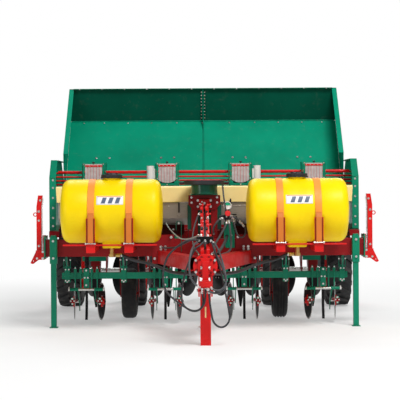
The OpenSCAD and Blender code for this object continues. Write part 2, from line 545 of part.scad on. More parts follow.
// ---- ridging gang ---------------------------------------------------------------
rd_y = 2800;
rd_z = ridger_d / 2 + 45;
ridge_x = [160, 590, 910, 1340];
rd_a = [26, -26, 26, -26];
module ridging_frame() at() color(dark_red) {
  xtube([-1450, 1450], [2640, 2710], [620, 690], 5);
  both() {
    yz([546, 574], [[2450, 616], [2639.8, 622], [2639.8, 686], [2450, 664]]);
    difference() { xcyl([546, 574], ridge_y, ridge_z, 26); bx([540, 580], [2450 - g, 2500], [600, 700]); }
    xcyl([530, 590], ridge_y, ridge_z, 12);
    for (i = [0 : 3]) {
      x = ridge_x[i] + (i % 2 == 0 ? -1 : 1) * 46;
      yz([x - 8, x + 8], [[2650, 619.8], [2700, 619.8], [2835, rd_z - 20], [2805, rd_z - 40], [2780, rd_z - 20]]);
      translate([ridge_x[i], rd_y, rd_z]) rotate([0, 0, rd_a[i]]) mirror([i % 2 == 0 ? 0 : 1, 0, 0]) xcyl([-56, -22 - g], 0, 0, 13);
    }
  }
}
module ridging_discs() at() both() for (i = [0 : 3]) translate([ridge_x[i], rd_y, rd_z]) rotate([0, 0, rd_a[i]]) mirror([i % 2 == 0 ? 0 : 1, 0, 0]) {
  color(black) rotate([0, 90, 0]) rotate_extrude() polygon([[0, -2], [90, -2], [ridger_d / 2 - 30, 14], [ridger_d / 2, 32], [ridger_d / 2 - 34, 19], [90, 3], [0, 3]]);
  color(red) xcyl([-22, -2 - g], 0, 0, 30);
}

toolbar();
drawbar_arms();
drawbar_head();
hitch_eye();
mast();
chassis();
side_panels();
tank_cradles();
tank_left();
tank_right();
tank_straps();
tank_outlets();
fertilizer_boxes();
metering_housings();
wash_tank();
spray_valve_block();
guard_rods();
unit_housings();
cup_belts();
unit_curtains();
belt_motors();
furrow_openers();
coulter_bars();
coulter_arms();
coulter_tines();
marker_brackets();
leg_sleeves();
frame_bolts();
hose_left_loop();
hose_centre_drop();
hose_right_loop();
suction_hoses();
hopper();
hopper_barrels();
hopper_rods();
fertilizer_lid_left();
fertilizer_lid_right();
tank_cap_left();
tank_cap_right();
parking_stand();
leg_left();
leg_right();
marker_arm_left();
marker_arm_right();
rear_wheels_left();
rear_wheels_right();
gauge_wheel_left();
gauge_wheel_right();
coulter_disc_1();
coulter_disc_2();
coulter_disc_3();
coulter_disc_4();
coulter_disc_5();
coulter_disc_6();
coulter_disc_7();
coulter_disc_8();
ridging_frame();
ridging_discs();
belt_drive_shaft();
regulator_knob();
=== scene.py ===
import math, random
import bpy, bmesh
from mathutils import Vector, Matrix


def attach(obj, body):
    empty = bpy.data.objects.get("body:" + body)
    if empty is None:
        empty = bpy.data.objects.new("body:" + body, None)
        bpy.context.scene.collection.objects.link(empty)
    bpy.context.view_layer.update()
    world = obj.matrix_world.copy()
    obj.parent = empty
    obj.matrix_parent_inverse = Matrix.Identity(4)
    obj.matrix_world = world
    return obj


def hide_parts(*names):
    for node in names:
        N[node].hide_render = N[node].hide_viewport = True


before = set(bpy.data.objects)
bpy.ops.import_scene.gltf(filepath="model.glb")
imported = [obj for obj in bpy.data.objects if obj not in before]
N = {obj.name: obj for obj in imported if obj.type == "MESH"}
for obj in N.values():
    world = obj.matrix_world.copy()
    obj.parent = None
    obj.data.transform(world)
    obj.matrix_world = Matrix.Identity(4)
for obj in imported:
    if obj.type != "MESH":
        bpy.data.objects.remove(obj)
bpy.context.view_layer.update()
SH = -0.7007                      # the design's Y = 0, the toolbar's front face, in this frame
R = random.Random(7)

# ------------------------------------------------------------------ camera, light, floor
scene = bpy.context.scene
cam_d = bpy.data.cameras.new("cam")
cam_d.lens, cam_d.sensor_width = 108.0, 36.0
cam_d.clip_start, cam_d.clip_end = 0.1, 200.0
cam = bpy.data.objects.new("cam", cam_d)
scene.collection.objects.link(cam)
cam.location = (-0.040, -11.24 + SH, 1.25)
cam.rotation_mode = "XYZ"
cam.rotation_euler = (math.radians(90.0), 0.0, 0.0)
cam.rotation_euler = (Matrix.Rotation(math.radians(90.0), 4, "X") @ Matrix.Rotation(math.radians(-0.35), 4, "Z")).to_euler()
cam_d.shift_y = -0.0175
cam_d.shift_x = 0.0
scene.camera = cam
scene.view_settings.view_transform = "Standard"

world = bpy.data.worlds.new("studio")
scene.world = world
world.use_nodes = True
wn = world.node_tree
sky = wn.nodes["Background"]
sky.inputs[0].default_value = (1.0, 1.0, 1.0, 1.0)
lp = wn.nodes.new("ShaderNodeLightPath")
st = wn.nodes.new("ShaderNodeMapRange")
for i_, v_ in enumerate((0.0, 1.0, 0.22, 1.0)):       # the backdrop is white, the light that it gives is softer
    st.inputs[1 + i_].default_value = v_
wn.links.new(lp.outputs["Is Camera Ray"], st.inputs[0])
wn.links.new(st.outputs[0], sky.inputs[1])


def area(name, loc, target, size, power, color=(1, 1, 1)):
    d = bpy.data.lights.new(name, "AREA")
    d.shape, d.size, d.size_y, d.energy, d.color = "RECTANGLE", size[0], size[1], power, color
    o = bpy.data.objects.new(name, d)
    scene.collection.objects.link(o)
    o.location = loc
    o.rotation_mode = "QUATERNION"
    o.rotation_quaternion = (Vector(target) - Vector(loc)).to_track_quat("-Z", "Y")
    return o


area("key", (3.0, -6.5, 8.5), (0, -0.5, 0.9), (4.0, 3.0), 900)
area("fill", (-7.0, -8.0, 2.6), (0, -0.5, 0.8), (3.0, 3.0), 120)
area("top", (-1.5, 5.5, 7.5), (0, 1.2, 0.8), (4.0, 3.0), 200)
area("back", (2.0, 8.5, 5.0), (0, 0, 1.0), (5.0, 3.0), 200)

# ------------------------------------------------------------------ materials


def new_mat(name):
    m = bpy.data.materials.new(name)
    m.use_nodes = True
    nt = m.node_tree
    nt.nodes["Principled BSDF"].inputs["Specular IOR Level"].default_value = 0.3
    return m, nt, nt.nodes["Principled BSDF"]


def coords(nt, scale=(1, 1, 1)):
    tc = nt.nodes.new("ShaderNodeTexCoord")
    mp = nt.nodes.new("ShaderNodeMapping")
    mp.inputs["Scale"].default_value = scale
    nt.links.new(tc.outputs["Object"], mp.inputs["Vector"])
    return mp.outputs["Vector"]


def noise(nt, vec, scale, detail=4.0, rough=0.55):
    n = nt.nodes.new("ShaderNodeTexNoise")
    n.inputs["Scale"].default_value = scale
    n.inputs["Detail"].default_value = detail
    n.inputs["Roughness"].default_value = rough
    nt.links.new(vec, n.inputs["Vector"])
    return n.outputs["Fac"]


def ramp(nt, fac, stops):
    r = nt.nodes.new("ShaderNodeValToRGB")
    e = r.color_ramp.elements
    e[0].position, e[0].color = stops[0][0], (*stops[0][1], 1)
    e[1].position, e[1].color = stops[-1][0], (*stops[-1][1], 1)
    for p, c in stops[1:-1]:
        x = e.new(p)
        x.color = (*c, 1)
    nt.links.new(fac, r.inputs["Fac"])
    return r.outputs["Color"]


def maprange(nt, fac, a, b, c, d):
    n = nt.nodes.new("ShaderNodeMapRange")
    for i, v in enumerate((a, b, c, d)):
        n.inputs[1 + i].default_value = v
    nt.links.new(fac, n.inputs[0])
    return n.outputs[0]


def mix(nt, fac, a, b, mode="MIX"):
    n = nt.nodes.new("ShaderNodeMix")
    n.data_type, n.blend_type = "RGBA", mode
    if isinstance(fac, float):
        n.inputs[0].default_value = fac
    else:
        nt.links.new(fac, n.inputs[0])
    for v, k in ((a, 6), (b, 7)):
        if isinstance(v, tuple):
            n.inputs[k].default_value = (*v, 1)
        else:
            nt.links.new(v, n.inputs[k])
    return n.outputs[2]


def bump(nt, bsdf, height, strength, dist):
    b = nt.nodes.new("ShaderNodeBump")
    b.inputs["Strength"].default_value = strength
    b.inputs["Distance"].default_value = dist
    nt.links.new(height, b.inputs["Height"])
    nt.links.new(b.outputs["Normal"], bsdf.inputs["Normal"])


def mul(c, k):
    return tuple(min(1.0, x * k) for x in c)


def chips(nt, col, metal, lo=0.735, hi=0.75):
    """Small stone chips, broken up by noise."""
    n = noise(nt, coords(nt), 95.0, 3.0, 0.6)
    return mix(nt, maprange(nt, n, lo, hi, 0.0, 0.6), col, metal)


def paint(name, base, rough=0.32, coat=0.35, wear=(0.35, 0.33, 0.30), spec=0.16):
    """Sprayed machine paint: slight orange peel, dust in patches by noise, a little chipping."""
    m, nt, b = new_mat(name)
    v = coords(nt)
    big = noise(nt, v, 2.3, 3.0)
    dust = noise(nt, v, 14.0, 6.0, 0.65)
    c = ramp(nt, big, [(0.3, mul(base, 0.86)), (0.7, mul(base, 1.10))])
    c = mix(nt, maprange(nt, dust, 0.58, 0.85, 0.0, 0.10), c, (0.30, 0.26, 0.20))
    c = chips(nt, c, wear)
    nt.links.new(c, b.inputs["Base Color"])
    nt.links.new(maprange(nt, dust, 0.3, 0.8, rough - 0.07, rough + 0.20), b.inputs["Roughness"])
    b.inputs["Coat Weight"].default_value = coat
    b.inputs["Coat Roughness"].default_value = 0.10
    b.inputs["Specular IOR Level"].default_value = spec
    bump(nt, b, noise(nt, v, 240.0, 2.0), 0.10, 0.0006)
    return m


def plastic(name, base, rough=0.35, grain=320.0, strength=0.12, sub=0.0, spots=0.06):
    m, nt, b = new_mat(name)
    v = coords(nt)
    n = noise(nt, v, 3.1, 4.0)
    c = ramp(nt, n, [(0.3, mul(base, 0.92)), (0.7, mul(base, 1.06))])
    d = noise(nt, v, 22.0, 6.0, 0.7)
    c = mix(nt, maprange(nt, d, 0.58, 0.85, 0.0, spots * 3), c, mul(base, 0.6))
    nt.links.new(c, b.inputs["Base Color"])
    nt.links.new(maprange(nt, d, 0.3, 0.8, rough - 0.05, rough + 0.16), b.inputs["Roughness"])
    b.inputs["Subsurface Weight"].default_value = sub
    b.inputs["Subsurface Radius"].default_value = (0.02, 0.015, 0.004)
    b.inputs["Subsurface Scale"].default_value = 0.3
    bump(nt, b, noise(nt, v, grain, 2.0), strength, 0.0005)
    return m


def metal(name, base, rough=0.34, streak=(1, 1, 1), tint=(0.5, 0.42, 0.3), amount=0.15):
    m, nt, b = new_mat(name)
    v = coords(nt, streak)
    n = noise(nt, v, 18.0, 5.0, 0.6)
    c = ramp(nt, n, [(0.3, mul(base, 0.78)), (0.7, mul(base, 1.08))])
    s = noise(nt, coords(nt), 30.0, 5.0, 0.7)
    c = mix(nt, maprange(nt, s, 0.6, 0.85, 0.0, amount * 3), c, tint)
    nt.links.new(c, b.inputs["Base Color"])
    nt.links.new(maprange(nt, n, 0.25, 0.75, rough - 0.1, rough + 0.18), b.inputs["Roughness"])
    b.inputs["Metallic"].default_value = 1.0
    bump(nt, b, n, 0.15, 0.0006)
    return m


def rubber(name, base=(0.022, 0.022, 0.024), rough=0.62, dust=0.2, scale=12.0):
    m, nt, b = new_mat(name)
    v = coords(nt)
    n = noise(nt, v, scale, 6.0, 0.65)
    c = ramp(nt, n, [(0.3, mul(base, 0.7)), (0.7, mul(base, 1.6))])
    c = mix(nt, maprange(nt, n, 0.5, 0.8, 0.0, dust), c, (0.22, 0.19, 0.15))
    nt.links.new(c, b.inputs["Base Color"])
    nt.links.new(maprange(nt, n, 0.3, 0.8, rough - 0.12, rough + 0.2), b.inputs["Roughness"])
    bump(nt, b, noise(nt, v, 420.0, 3.0), 0.25, 0.0008)
    return m


RED = paint("red_paint", (0.66, 0.010, 0.010), 0.30, 0.10)
DKRED = paint("dark_red_paint", (0.24, 0.005, 0.007), 0.36, 0.06)
GREEN = paint("green_paint", (0.001, 0.215, 0.118), 0.30, 0.10)
HOPGREEN = paint("hopper_green", (0.001, 0.285, 0.165), 0.34, 0.04, spec=0.12)
DKGREEN = paint("dark_green_paint", (0.002, 0.085, 0.05), 0.35)
YELLOW = plastic("tank_yellow", (0.93, 0.67, 0.0005), 0.36, 260.0, 0.10, 0.02)
YELLOW.node_tree.nodes["Principled BSDF"].inputs["Specular IOR Level"].default_value = 0.16
CREAM = plastic("lid_cream", (0.98, 0.76, 0.32), 0.42, 300.0, 0.15, 0.04, 0.08)
BLACKP = plastic("black_plastic", (0.022, 0.022, 0.025), 0.42, 300.0, 0.2)
WHITEP = plastic("white_plastic", (0.78, 0.76, 0.74), 0.38, 300.0, 0.1)
REDP = plastic("red_plastic", (0.72, 0.03, 0.03), 0.30, 300.0, 0.1)
STEEL = metal("stainless_body", (0.44, 0.40, 0.35), 0.42, (1, 1, 14), (0.30, 0.26, 0.2), 0.12)
ZINC = metal("zinc_plated", (0.72, 0.72, 0.70), 0.28)
BRASS = metal("brass", (0.62, 0.42, 0.14), 0.3)
BLKSTEEL = paint("black_steel", (0.010, 0.010, 0.011), 0.42, 0.1, (0.3, 0.3, 0.3), spec=0.06)
EDGE = metal("ground_edge", (0.50, 0.49, 0.47), 0.3, (1, 1, 1), (0.3, 0.2, 0.12), 0.3)
TYRE = rubber("tyre_rubber", (0.020, 0.020, 0.021), 0.7, 0.22, 9.0)
HOSE = rubber("hose_rubber", (0.026, 0.027, 0.03), 0.45, 0.08)
BELT = rubber("belt_rubber", (0.03, 0.03, 0.03), 0.7, 0.25)


def floor_mat():
    """Pale matt floor that runs out into the white backdrop."""
    m, nt, b = new_mat("studio_floor")
    v = coords(nt)
    nt.links.new(ramp(nt, noise(nt, v, 0.7, 3.0), [(0.3, (0.90, 0.90, 0.895)), (0.7, (0.94, 0.94, 0.935))]), b.inputs["Base Color"])
    b.inputs["Roughness"].default_value = 0.75
    b.inputs["Specular IOR Level"].default_value = 0.1
    ln = nt.nodes.new("ShaderNodeVectorMath")
    ln.operation = "LENGTH"
    nt.links.new(v, ln.inputs[0])
    far = maprange(nt, ln.outputs["Value"], 2.0, 6.5, 0.34, 1.0)
    em = nt.nodes.new("ShaderNodeEmission")
    em.inputs["Color"].default_value = (1.0, 1.0, 1.0, 1.0)
    ms = nt.nodes.new("ShaderNodeMixShader")
    nt.links.new(far, ms.inputs[0])
    nt.links.new(b.outputs[0], ms.inputs[1])
    nt.links.new(em.outputs[0], ms.inputs[2])
    nt.links.new(ms.outputs[0], nt.nodes["Material Output"].inputs["Surface"])
    return m


def mesh_obj(name, verts, faces, mat=None, smooth=False):
    me = bpy.data.meshes.new(name)
    me.from_pydata([tuple(v) for v in verts], [], faces)
    me.update()
    o = bpy.data.objects.new(name, me)
    scene.collection.objects.link(o)
    if mat:
        me.materials.append(mat)
    if smooth:
        me.polygons.foreach_set("use_smooth", [True] * len(me.polygons))
    return o


floor = mesh_obj("floor", [(-40, -40, 0), (40, -40, 0), (40, 40, 0), (-40, 40, 0)], [(0, 1, 2, 3)], floor_mat())

# ------------------------------------------------------------------ the CAD nodes' own finish
import numpy as np


def islands(me):
    """Faces of each separate solid: [(face indices, low corner, high corner)], in design coordinates (Y from the toolbar's front)."""
    co = np.empty(len(me.vertices) * 3)
    me.vertices.foreach_get("co", co)
    co = co.reshape(-1, 3)
    key, inv = np.unique(np.round(co * 1e5).astype(np.int64), axis=0, return_inverse=True)
    inv = inv.ravel()
    parent = list(range(len(key)))

    def find(i):
        while parent[i] != i:
            parent[i] = parent[parent[i]]
            i = parent[i]
        return i

    for p in me.polygons:
        v = [find(inv[i]) for i in p.vertices]
        for k in v[1:]:
            parent[find(k)] = find(v[0])
    groups = {}
    for p in me.polygons:
        groups.setdefault(find(inv[p.vertices[0]]), []).append(p.index)
    out = []
    for faces in groups.values():
        idx = np.unique([i for f in faces for i in me.polygons[f].vertices])
        lo, hi = co[idx].min(0), co[idx].max(0)
        lo, hi = lo - (0, SH, 0), hi - (0, SH, 0)
        out.append((faces, lo, hi))
    return out


def dress(node, mat, rules=(), bevel=0.0022, segs=2, angle=35.0):
    """Materials by solid, and softened edges, on a CAD node. rules: (test(lo, hi), material)."""
    o = N[node]
    me = o.data
    me.materials.clear()
    me.materials.append(mat)
    mats = [mat]
    me.polygons.foreach_set("material_index", [0] * len(me.polygons))
    if rules:
        for faces, lo, hi in islands(me):
            for test, m in rules:
                if test(lo, hi):
                    if m not in mats:
                        mats.append(m)
                        me.materials.append(m)
                    k = mats.index(m)
                    for f in faces:
                        me.polygons[f].material_index = k
                    break
    me.polygons.foreach_set("use_smooth", [True] * len(me.polygons))
    if "custom_normal" in me.attributes:
        me.attributes.remove(me.attributes["custom_normal"])
    w = o.modifiers.new("weld", "WELD")
    w.merge_threshold = 1e-5
    d = o.modifiers.new("planar", "DECIMATE")
    d.decimate_type = "DISSOLVE"
    d.angle_limit = math.radians(0.6)
    d.delimit = {"MATERIAL"}
    if bevel:
        b = o.modifiers.new("bevel", "BEVEL")
        b.width, b.segments, b.limit_method, b.angle_limit = bevel, segs, "ANGLE", math.radians(angle)
        b.harden_normals = True
        b.use_clamp_overlap = True
    n = o.modifiers.new("normals", "WEIGHTED_NORMAL")
    n.keep_sharp = True
    n.weight = 60
    return o


def size(lo, hi):
    return hi - lo


dress("toolbar", DKRED, bevel=0.008, segs=3)
# The drawbar arms get a darker copy of the red paint: painted shade for arms that sit in shadow.
dress("drawbar_arms", paint("arm_red_painted_shade", (0.50, 0.008, 0.008), 0.32, 0.08), [(lambda lo, hi: size(lo, hi)[1] < 0.016, DKRED)], bevel=0.003)
dress("drawbar_head", RED, bevel=0.003)
dress("hitch_eye", RED, bevel=0.003)
dress("mast", RED, [(lambda lo, hi: lo[2] < 0.83 and hi[2] > 1.2, DKRED), (lambda lo, hi: size(lo, hi)[0] > 0.25, DKRED)], bevel=0.003)
dress("chassis", DKRED, bevel=0.003)
dress("side_panels", GREEN, bevel=0.0015)
dress("tank_cradles", RED, bevel=0.0015)
dress("tank_outlets", BRASS, bevel=0.0015)
dress("fertilizer_boxes", STEEL, bevel=0.001)
dress("metering_housings", paint("housing_shade", (0.07, 0.010, 0.010), 0.45, 0.0, spec=0.08), [(lambda lo, hi: abs(lo[0] + hi[0]) < 0.01 and size(lo, hi)[0] < 0.3, DKGREEN)], bevel=0.003)
dress("wash_tank", DKGREEN, [(lambda lo, hi: lo[2] > 1.32, BLACKP), (lambda lo, hi: size(lo, hi)[0] < 0.1, CREAM)], bevel=0.008, segs=3)
dress("spray_valve_block", BLACKP, [(lambda lo, hi: lo[1] < -1.4, RED), (lambda lo, hi: lo[1] < -1.12, BLKSTEEL), (lambda lo, hi: lo[1] < -1.05, RED),
    (lambda lo, hi: size(lo, hi)[0] < 0.03 and lo[2] > 1.02, ZINC), (lambda lo, hi: lo[2] < 0.83, DKGREEN)], bevel=0.0015)
dress("guard_rods", RED, bevel=0)
dress("unit_housings", GREEN, bevel=0.0015)
dress("cup_belts", BELT, bevel=0.001)
dress("belt_motors", WHITEP, [(lambda lo, hi: size(lo, hi)[0] < 0.03, DKRED)], bevel=0.006, segs=3)
dress("furrow_openers", BLKSTEEL, [(lambda lo, hi: lo[2] > 0.4, DKRED)], bevel=0.003)
dress("coulter_bars", GREEN, [(lambda lo, hi: abs(size(lo, hi)[0] - size(lo, hi)[1]) < 0.002 and lo[2] > 0.53, BLACKP)], bevel=0.0015)
dress("coulter_arms", GREEN, [(lambda lo, hi: size(lo, hi)[0] > 0.13, ZINC), (lambda lo, hi: size(lo, hi)[0] < 0.015 and hi[2] > 0.354 and hi[1] < 0.2, WHITEP),
    (lambda lo, hi: lo[1] > 0.3 and size(lo, hi)[2] < 0.04, ZINC)], bevel=0.0012)
dress("coulter_tines", BLKSTEEL, bevel=0.002)
dress("marker_brackets", RED, [(lambda lo, hi: lo[1] < 0, GREEN), (lambda lo, hi: lo[2] > 0.76 and hi[1] < 0.13 and size(lo, hi)[1] < 0.05, ZINC)], bevel=0.0015)
dress("leg_sleeves", GREEN, bevel=0.003)
dress("frame_bolts", ZINC, bevel=0.0012)
# The hopper's back wall gets a darker copy of the hopper green: painted shade for a wall that faces forward and down,
# away from the light.
dress("hopper", HOPGREEN, [(lambda lo, hi: size(lo, hi)[0] > 2.5 and lo[2] > 2.0 and size(lo, hi)[2] > 0.2, paint("hopper_back_painted_shade", (0.001, 0.070, 0.042), 0.42, 0.0, spec=0.03)), (lambda lo, hi: size(lo, hi)[0] > 2.5 and lo[2] > 2.3, GREEN)], bevel=0.001)
dress("hopper_barrels", DKRED, bevel=0.002)
dress("hopper_rods", metal("chromed_rod", (0.8, 0.8, 0.8), 0.14, (1, 1, 1), (0.6, 0.6, 0.6), 0.03), bevel=0.002)
for s in ("left", "right"):
    dress("fertilizer_lid_" + s, CREAM, bevel=0.010, segs=4)
    dress("tank_cap_" + s, BLACKP, bevel=0.003)
    dress("leg_" + s, GREEN, bevel=0.002)
    dress("marker_arm_" + s, RED, bevel=0.0015)
dress("parking_stand", RED, [(lambda lo, hi: size(lo, hi)[2] < 0.03, ZINC)], bevel=0.003)
dress("ridging_frame", DKRED, bevel=0.002)
dress("ridging_discs", BLKSTEEL, [(lambda lo, hi: size(lo, hi)[2] < 0.1, RED)], bevel=0.0008)
for i in range(1, 9):
    dress("coulter_disc_%d" % i, BLKSTEEL, [(lambda lo, hi: size(lo, hi)[2] < 0.15, RED)], bevel=0.0006)
dress("belt_drive_shaft", RED, bevel=0.001)
dress("regulator_knob", REDP, bevel=0.003)
dress("tank_straps", plastic("orange_webbing", (0.90, 0.30, 0.045), 0.45, 900.0, 0.5), bevel=0.001)

# ------------------------------------------------------------------ mesh helpers


def D(x, y, z):
    """A point in design millimetres, in this frame's metres."""
    return Vector((x / 1000.0, y / 1000.0 + SH, z / 1000.0))


def revolve(name, profile, centre, axis="X", seg=96, mat=None, closed=True):
    """Profile [(radius, along)] in metres turned about an axis through centre."""
    n = len(profile)
    vs, fs = [], []
    for i in range(seg):
        a = 2 * math.pi * i / seg
        c, s = math.cos(a), math.sin(a)
        for r, t in profile:
            if axis == "X":
                vs.append((centre[0] + t, centre[1] + r * c, centre[2] + r * s))
            elif axis == "Y":
                vs.append((centre[0] + r * c, centre[1] + t, centre[2] + r * s))
            else:
                vs.append((centre[0] + r * c, centre[1] + r * s, centre[2] + t))
    m = n if closed else n - 1
    for i in range(seg):
        j = (i + 1) % seg
        for k in range(m):
            q = (k + 1) % n
            fs.append((i * n + k, i * n + q, j * n + q, j * n + k))
    o = mesh_obj(name, vs, fs, mat, True)
    fix_normals(o)
    return o


def fix_normals(o):
    bm = bmesh.new()
    bm.from_mesh(o.data)
    bmesh.ops.remove_doubles(bm, verts=bm.verts, dist=1e-6)
    bmesh.ops.recalc_face_normals(bm, faces=bm.faces)
    bm.to_mesh(o.data)
    bm.free()


def join(name, objs):
    """One mesh out of several, keeping their materials."""
    me = bpy.data.meshes.new(name)
    bm = bmesh.new()
    mats = []
    for o in objs:
        off = []
        for m in o.data.materials:
            if m not in mats:
                mats.append(m)
            off.append(mats.index(m))
        t = o.data.copy()
        t.transform(o.matrix_world)
        idx = [0] * len(t.polygons)
        t.polygons.foreach_get("material_index", idx)
        t.polygons.foreach_set("material_index", [off[i] if off else 0 for i in idx])
        bm.from_mesh(t)
        bpy.data.meshes.remove(t)
        bpy.data.objects.remove(o)
    bm.to_mesh(me)
    bm.free()
    for m in mats:
        me.materials.append(m)
    o = bpy.data.objects.new(name, me)
    scene.collection.objects.link(o)
    return o


def autosmooth(o, angle=35.0):
    """Marks edges sharper than the angle, so a bevel or flat side stays crisp."""
    me = o.data
    bm = bmesh.new()
    bm.from_mesh(me)
    for e in bm.edges:
        e.smooth = not (len(e.link_faces) == 2 and e.calc_face_angle(0) > math.radians(angle))
    for f in bm.faces:
        f.smooth = True
    bm.to_mesh(me)
    bm.free()


def bevel_mod(o, w, segs=2, angle=30.0):
    b = o.modifiers.new("bevel", "BEVEL")
    b.width, b.segments, b.limit_method, b.angle_limit = w, segs, "ANGLE", math.radians(angle)
    b.harden_normals = True
    for p in o.data.polygons:
        p.use_smooth = True


def boxes(name, items, mat, bev=0.0015):
    """Boxes [(lo, hi)] in design millimetres."""
    vs, fs = [], []
    for lo, hi in items:
        k = len(vs)
        a, b = D(*lo), D(*hi)
        vs += [(x, y, z) for z in (a.z, b.z) for y in (a.y, b.y) for x in (a.x, b.x)]
        fs += [tuple(k + i for i in f) for f in ((0, 2, 3, 1), (4, 5, 7, 6), (0, 1, 5, 4), (2, 6, 7, 3), (0, 4, 6, 2), (1, 3, 7, 5))]
    o = mesh_obj(name, vs, fs, mat)
    bevel_mod(o, bev)
    return o


def hexbolts(name, items, mat, axis="Y"):
    """Bolt heads with washers: items (x, y, z, radius, height, sign) in design mm; the head stands out towards sign * axis."""
    vs, fs = [], []
    rows3 = lambda r: [(1.25 * r, 0.0), (1.25 * r, 0.28 * r), (0.0, 0.28 * r)]
    for x, y, z, r, h, sg in items:
        c = D(x, y, z)
        r, h = r / 1000.0, h / 1000.0
        layers = [(24, 1.32 * r, 0.0), (24, 1.32 * r, 0.22 * r), (6, r, 0.22 * r), (6, r, h * 0.86), (6, r * 0.86, h), ]
        ring = []
        for cnt, rad, t in layers:
            k = len(vs)
            for i in range(24):
                a = 2 * math.pi * i / 24
                rr = rad
                if cnt == 6:
                    q = (a % (math.pi / 3)) - math.pi / 6
                    rr = rad * math.cos(math.pi / 6) / math.cos(q) * 1.1547 * 0.93
                u, v = rr * math.cos(a), rr * math.sin(a)
                if axis == "Y":
                    p = (c.x + u, c.y + sg * t, c.z + v)
                elif axis == "X":
                    p = (c.x + sg * t, c.y + u, c.z + v)
                else:
                    p = (c.x + u, c.y + v, c.z + sg * t)
                vs.append(p)
            ring.append(k)
        for a0, b0 in zip(ring, ring[1:]):
            for i in range(24):
                j = (i + 1) % 24
                fs.append((a0 + i, a0 + j, b0 + j, b0 + i))
        fs.append(tuple(ring[-1] + i for i in range(24)))
        fs.append(tuple(ring[0] + i for i in reversed(range(24))))
    o = mesh_obj(name, vs, fs, mat)
    fix_normals(o)
    autosmooth(o, 25)
    return o


def tube(name, pts, dia, mat, res=6, smooth=True):
    """A curve of one open spline through design points, in mm."""
    cu = bpy.data.curves.new(name, "CURVE")
    cu.dimensions = "3D"
    s = cu.splines.new("NURBS" if smooth else "POLY")
    s.points.add(len(pts) - 1)
    for p, q in zip(s.points, pts):
        v = D(*q)
        p.co = (v.x, v.y, v.z, 1.0)
    if smooth:
        s.order_u = 4
        s.use_endpoint_u = True
    s.resolution_u = 8
    cu.bevel_depth = dia / 2000.0
    cu.bevel_resolution = res
    cu.use_fill_caps = True
    cu.materials.append(mat)
    o = bpy.data.objects.new(name, cu)
    scene.collection.objects.link(o)
    return o


def crom(p, n=6):
    """Points along a Catmull-Rom curve through p."""
    out = []
    for i in range(len(p) - 1):
        a, b, c, d = Vector(p[max(i - 1, 0)]), Vector(p[i]), Vector(p[i + 1]), Vector(p[min(i + 2, len(p) - 1)])
        for k in range(n):
            t = k / n
            out.append(tuple(0.5 * ((2 * b) + (c - a) * t + (2 * a - 5 * b + 4 * c - d) * t * t + (3 * b - a - 3 * c + d) * t ** 3)))
    out.append(tuple(p[-1]))
    return out


def ease(pts, need, keep=2):
    """Opens bends tighter than `need` by smoothing the points round them; the ends and their directions stay."""
    q = [Vector(a) for a in pts]
    n = len(q)
    for _ in range(600):
        hot = set()
        for i in range(1, n - 1):
            u, v, w = q[i] - q[i - 1], q[i + 1] - q[i], q[i + 1] - q[i - 1]
            k = 2.0 * u.cross(v).length / max(u.length * v.length * w.length, 1e-9)
            if k * need > 1.0:
                hot.update(range(i - 2, i + 3))
        hot = [i for i in hot if keep <= i < n - keep]
        if not hot:
            break
        new = {i: q[i] * 0.5 + (q[i - 1] + q[i + 1]) * 0.25 for i in hot}
        for i, a in new.items():
            q[i] = a
    return [tuple(a) for a in q]

# ------------------------------------------------------------------ wheels


def sweep_rows(rows, close_ends=True):
    """Quads between rings of equal length; ends closed."""
    n = len(rows[0])
    vs = [p for r in rows for p in r]
    fs = []
    for i in range(len(rows) - 1):
        for k in range(n):
            q = (k + 1) % n
            fs.append((i * n + k, i * n + q, (i + 1) * n + q, (i + 1) * n + k))
    if close_ends:
        fs.append(tuple(reversed(range(n))))
        fs.append(tuple((len(rows) - 1) * n + k for k in range(n)))
    return vs, fs


def farm_tyre(name, cx, cy, cz, r, w, ri, lugs, lug_h):
    """Carcass with a chevron of lugs on each half of the tread."""
    rb = r - lug_h
    prof = [(ri, -w / 2 + 0.030), (ri + 0.008, -w / 2 + 0.012), (ri + 0.03, -w / 2 + 0.004), (ri + 0.07, -w / 2 + 0.001), (rb - 0.06, -w / 2 + 0.004),
            (rb - 0.028, -w / 2 + 0.012), (rb - 0.012, -w / 2 + 0.030), (rb - 0.004, -w / 2 + 0.065), (rb, -0.02), (rb, 0.02), (rb - 0.004, w / 2 - 0.065),
            (rb - 0.012, w / 2 - 0.030), (rb - 0.028, w / 2 - 0.012), (rb - 0.06, w / 2 - 0.004), (ri + 0.07, w / 2 - 0.001), (ri + 0.03, w / 2 - 0.004),
            (ri + 0.008, w / 2 - 0.012), (ri, w / 2 - 0.030)]
    parts = [revolve(name + "_c", prof, (cx, cy, cz), "X", 96, TYRE)]
    vs, fs = [], []
    for sgn in (-1, 1):
        for i in range(lugs):
            a0 = 2 * math.pi * (i + (0.5 if sgn > 0 else 0.0)) / lugs
            rows = []
            for k, (u, base, top) in enumerate(((-0.006, rb - 0.004, r), (0.04, rb - 0.006, r), (0.08, rb - 0.012, r - 0.003), (w / 2 - 0.022, rb - 0.03, r - 0.010),
                                                (w / 2 - 0.004, rb - 0.045, rb - 0.022), (w / 2 - 0.001, rb - 0.075, rb - 0.062))):
                a = a0 + 0.42 * max(0.0, u) / 0.13 * (0.13 / 0.13) * 0.55
                hw = (0.019 + 0.006 * k / 5) / r
                ring = []
                for da, rad in ((-hw * 1.25, base), (hw * 1.25, base), (hw, top), (-hw, top)):
                    ring.append((cx + sgn * u, cy + rad * math.cos(a + da), cz + rad * math.sin(a + da)))
                rows.append(ring)
            v, f = sweep_rows(rows)
            k0 = len(vs)
            vs += v
            fs += [tuple(k0 + q for q in t) for t in f]
    lo = mesh_obj(name + "_l", vs, fs, TYRE)
    fix_normals(lo)
    parts.append(lo)
    o = join(name, parts)
    autosmooth(o, 40)
    bevel_mod(o, 0.0025, 1, 40)
    return o


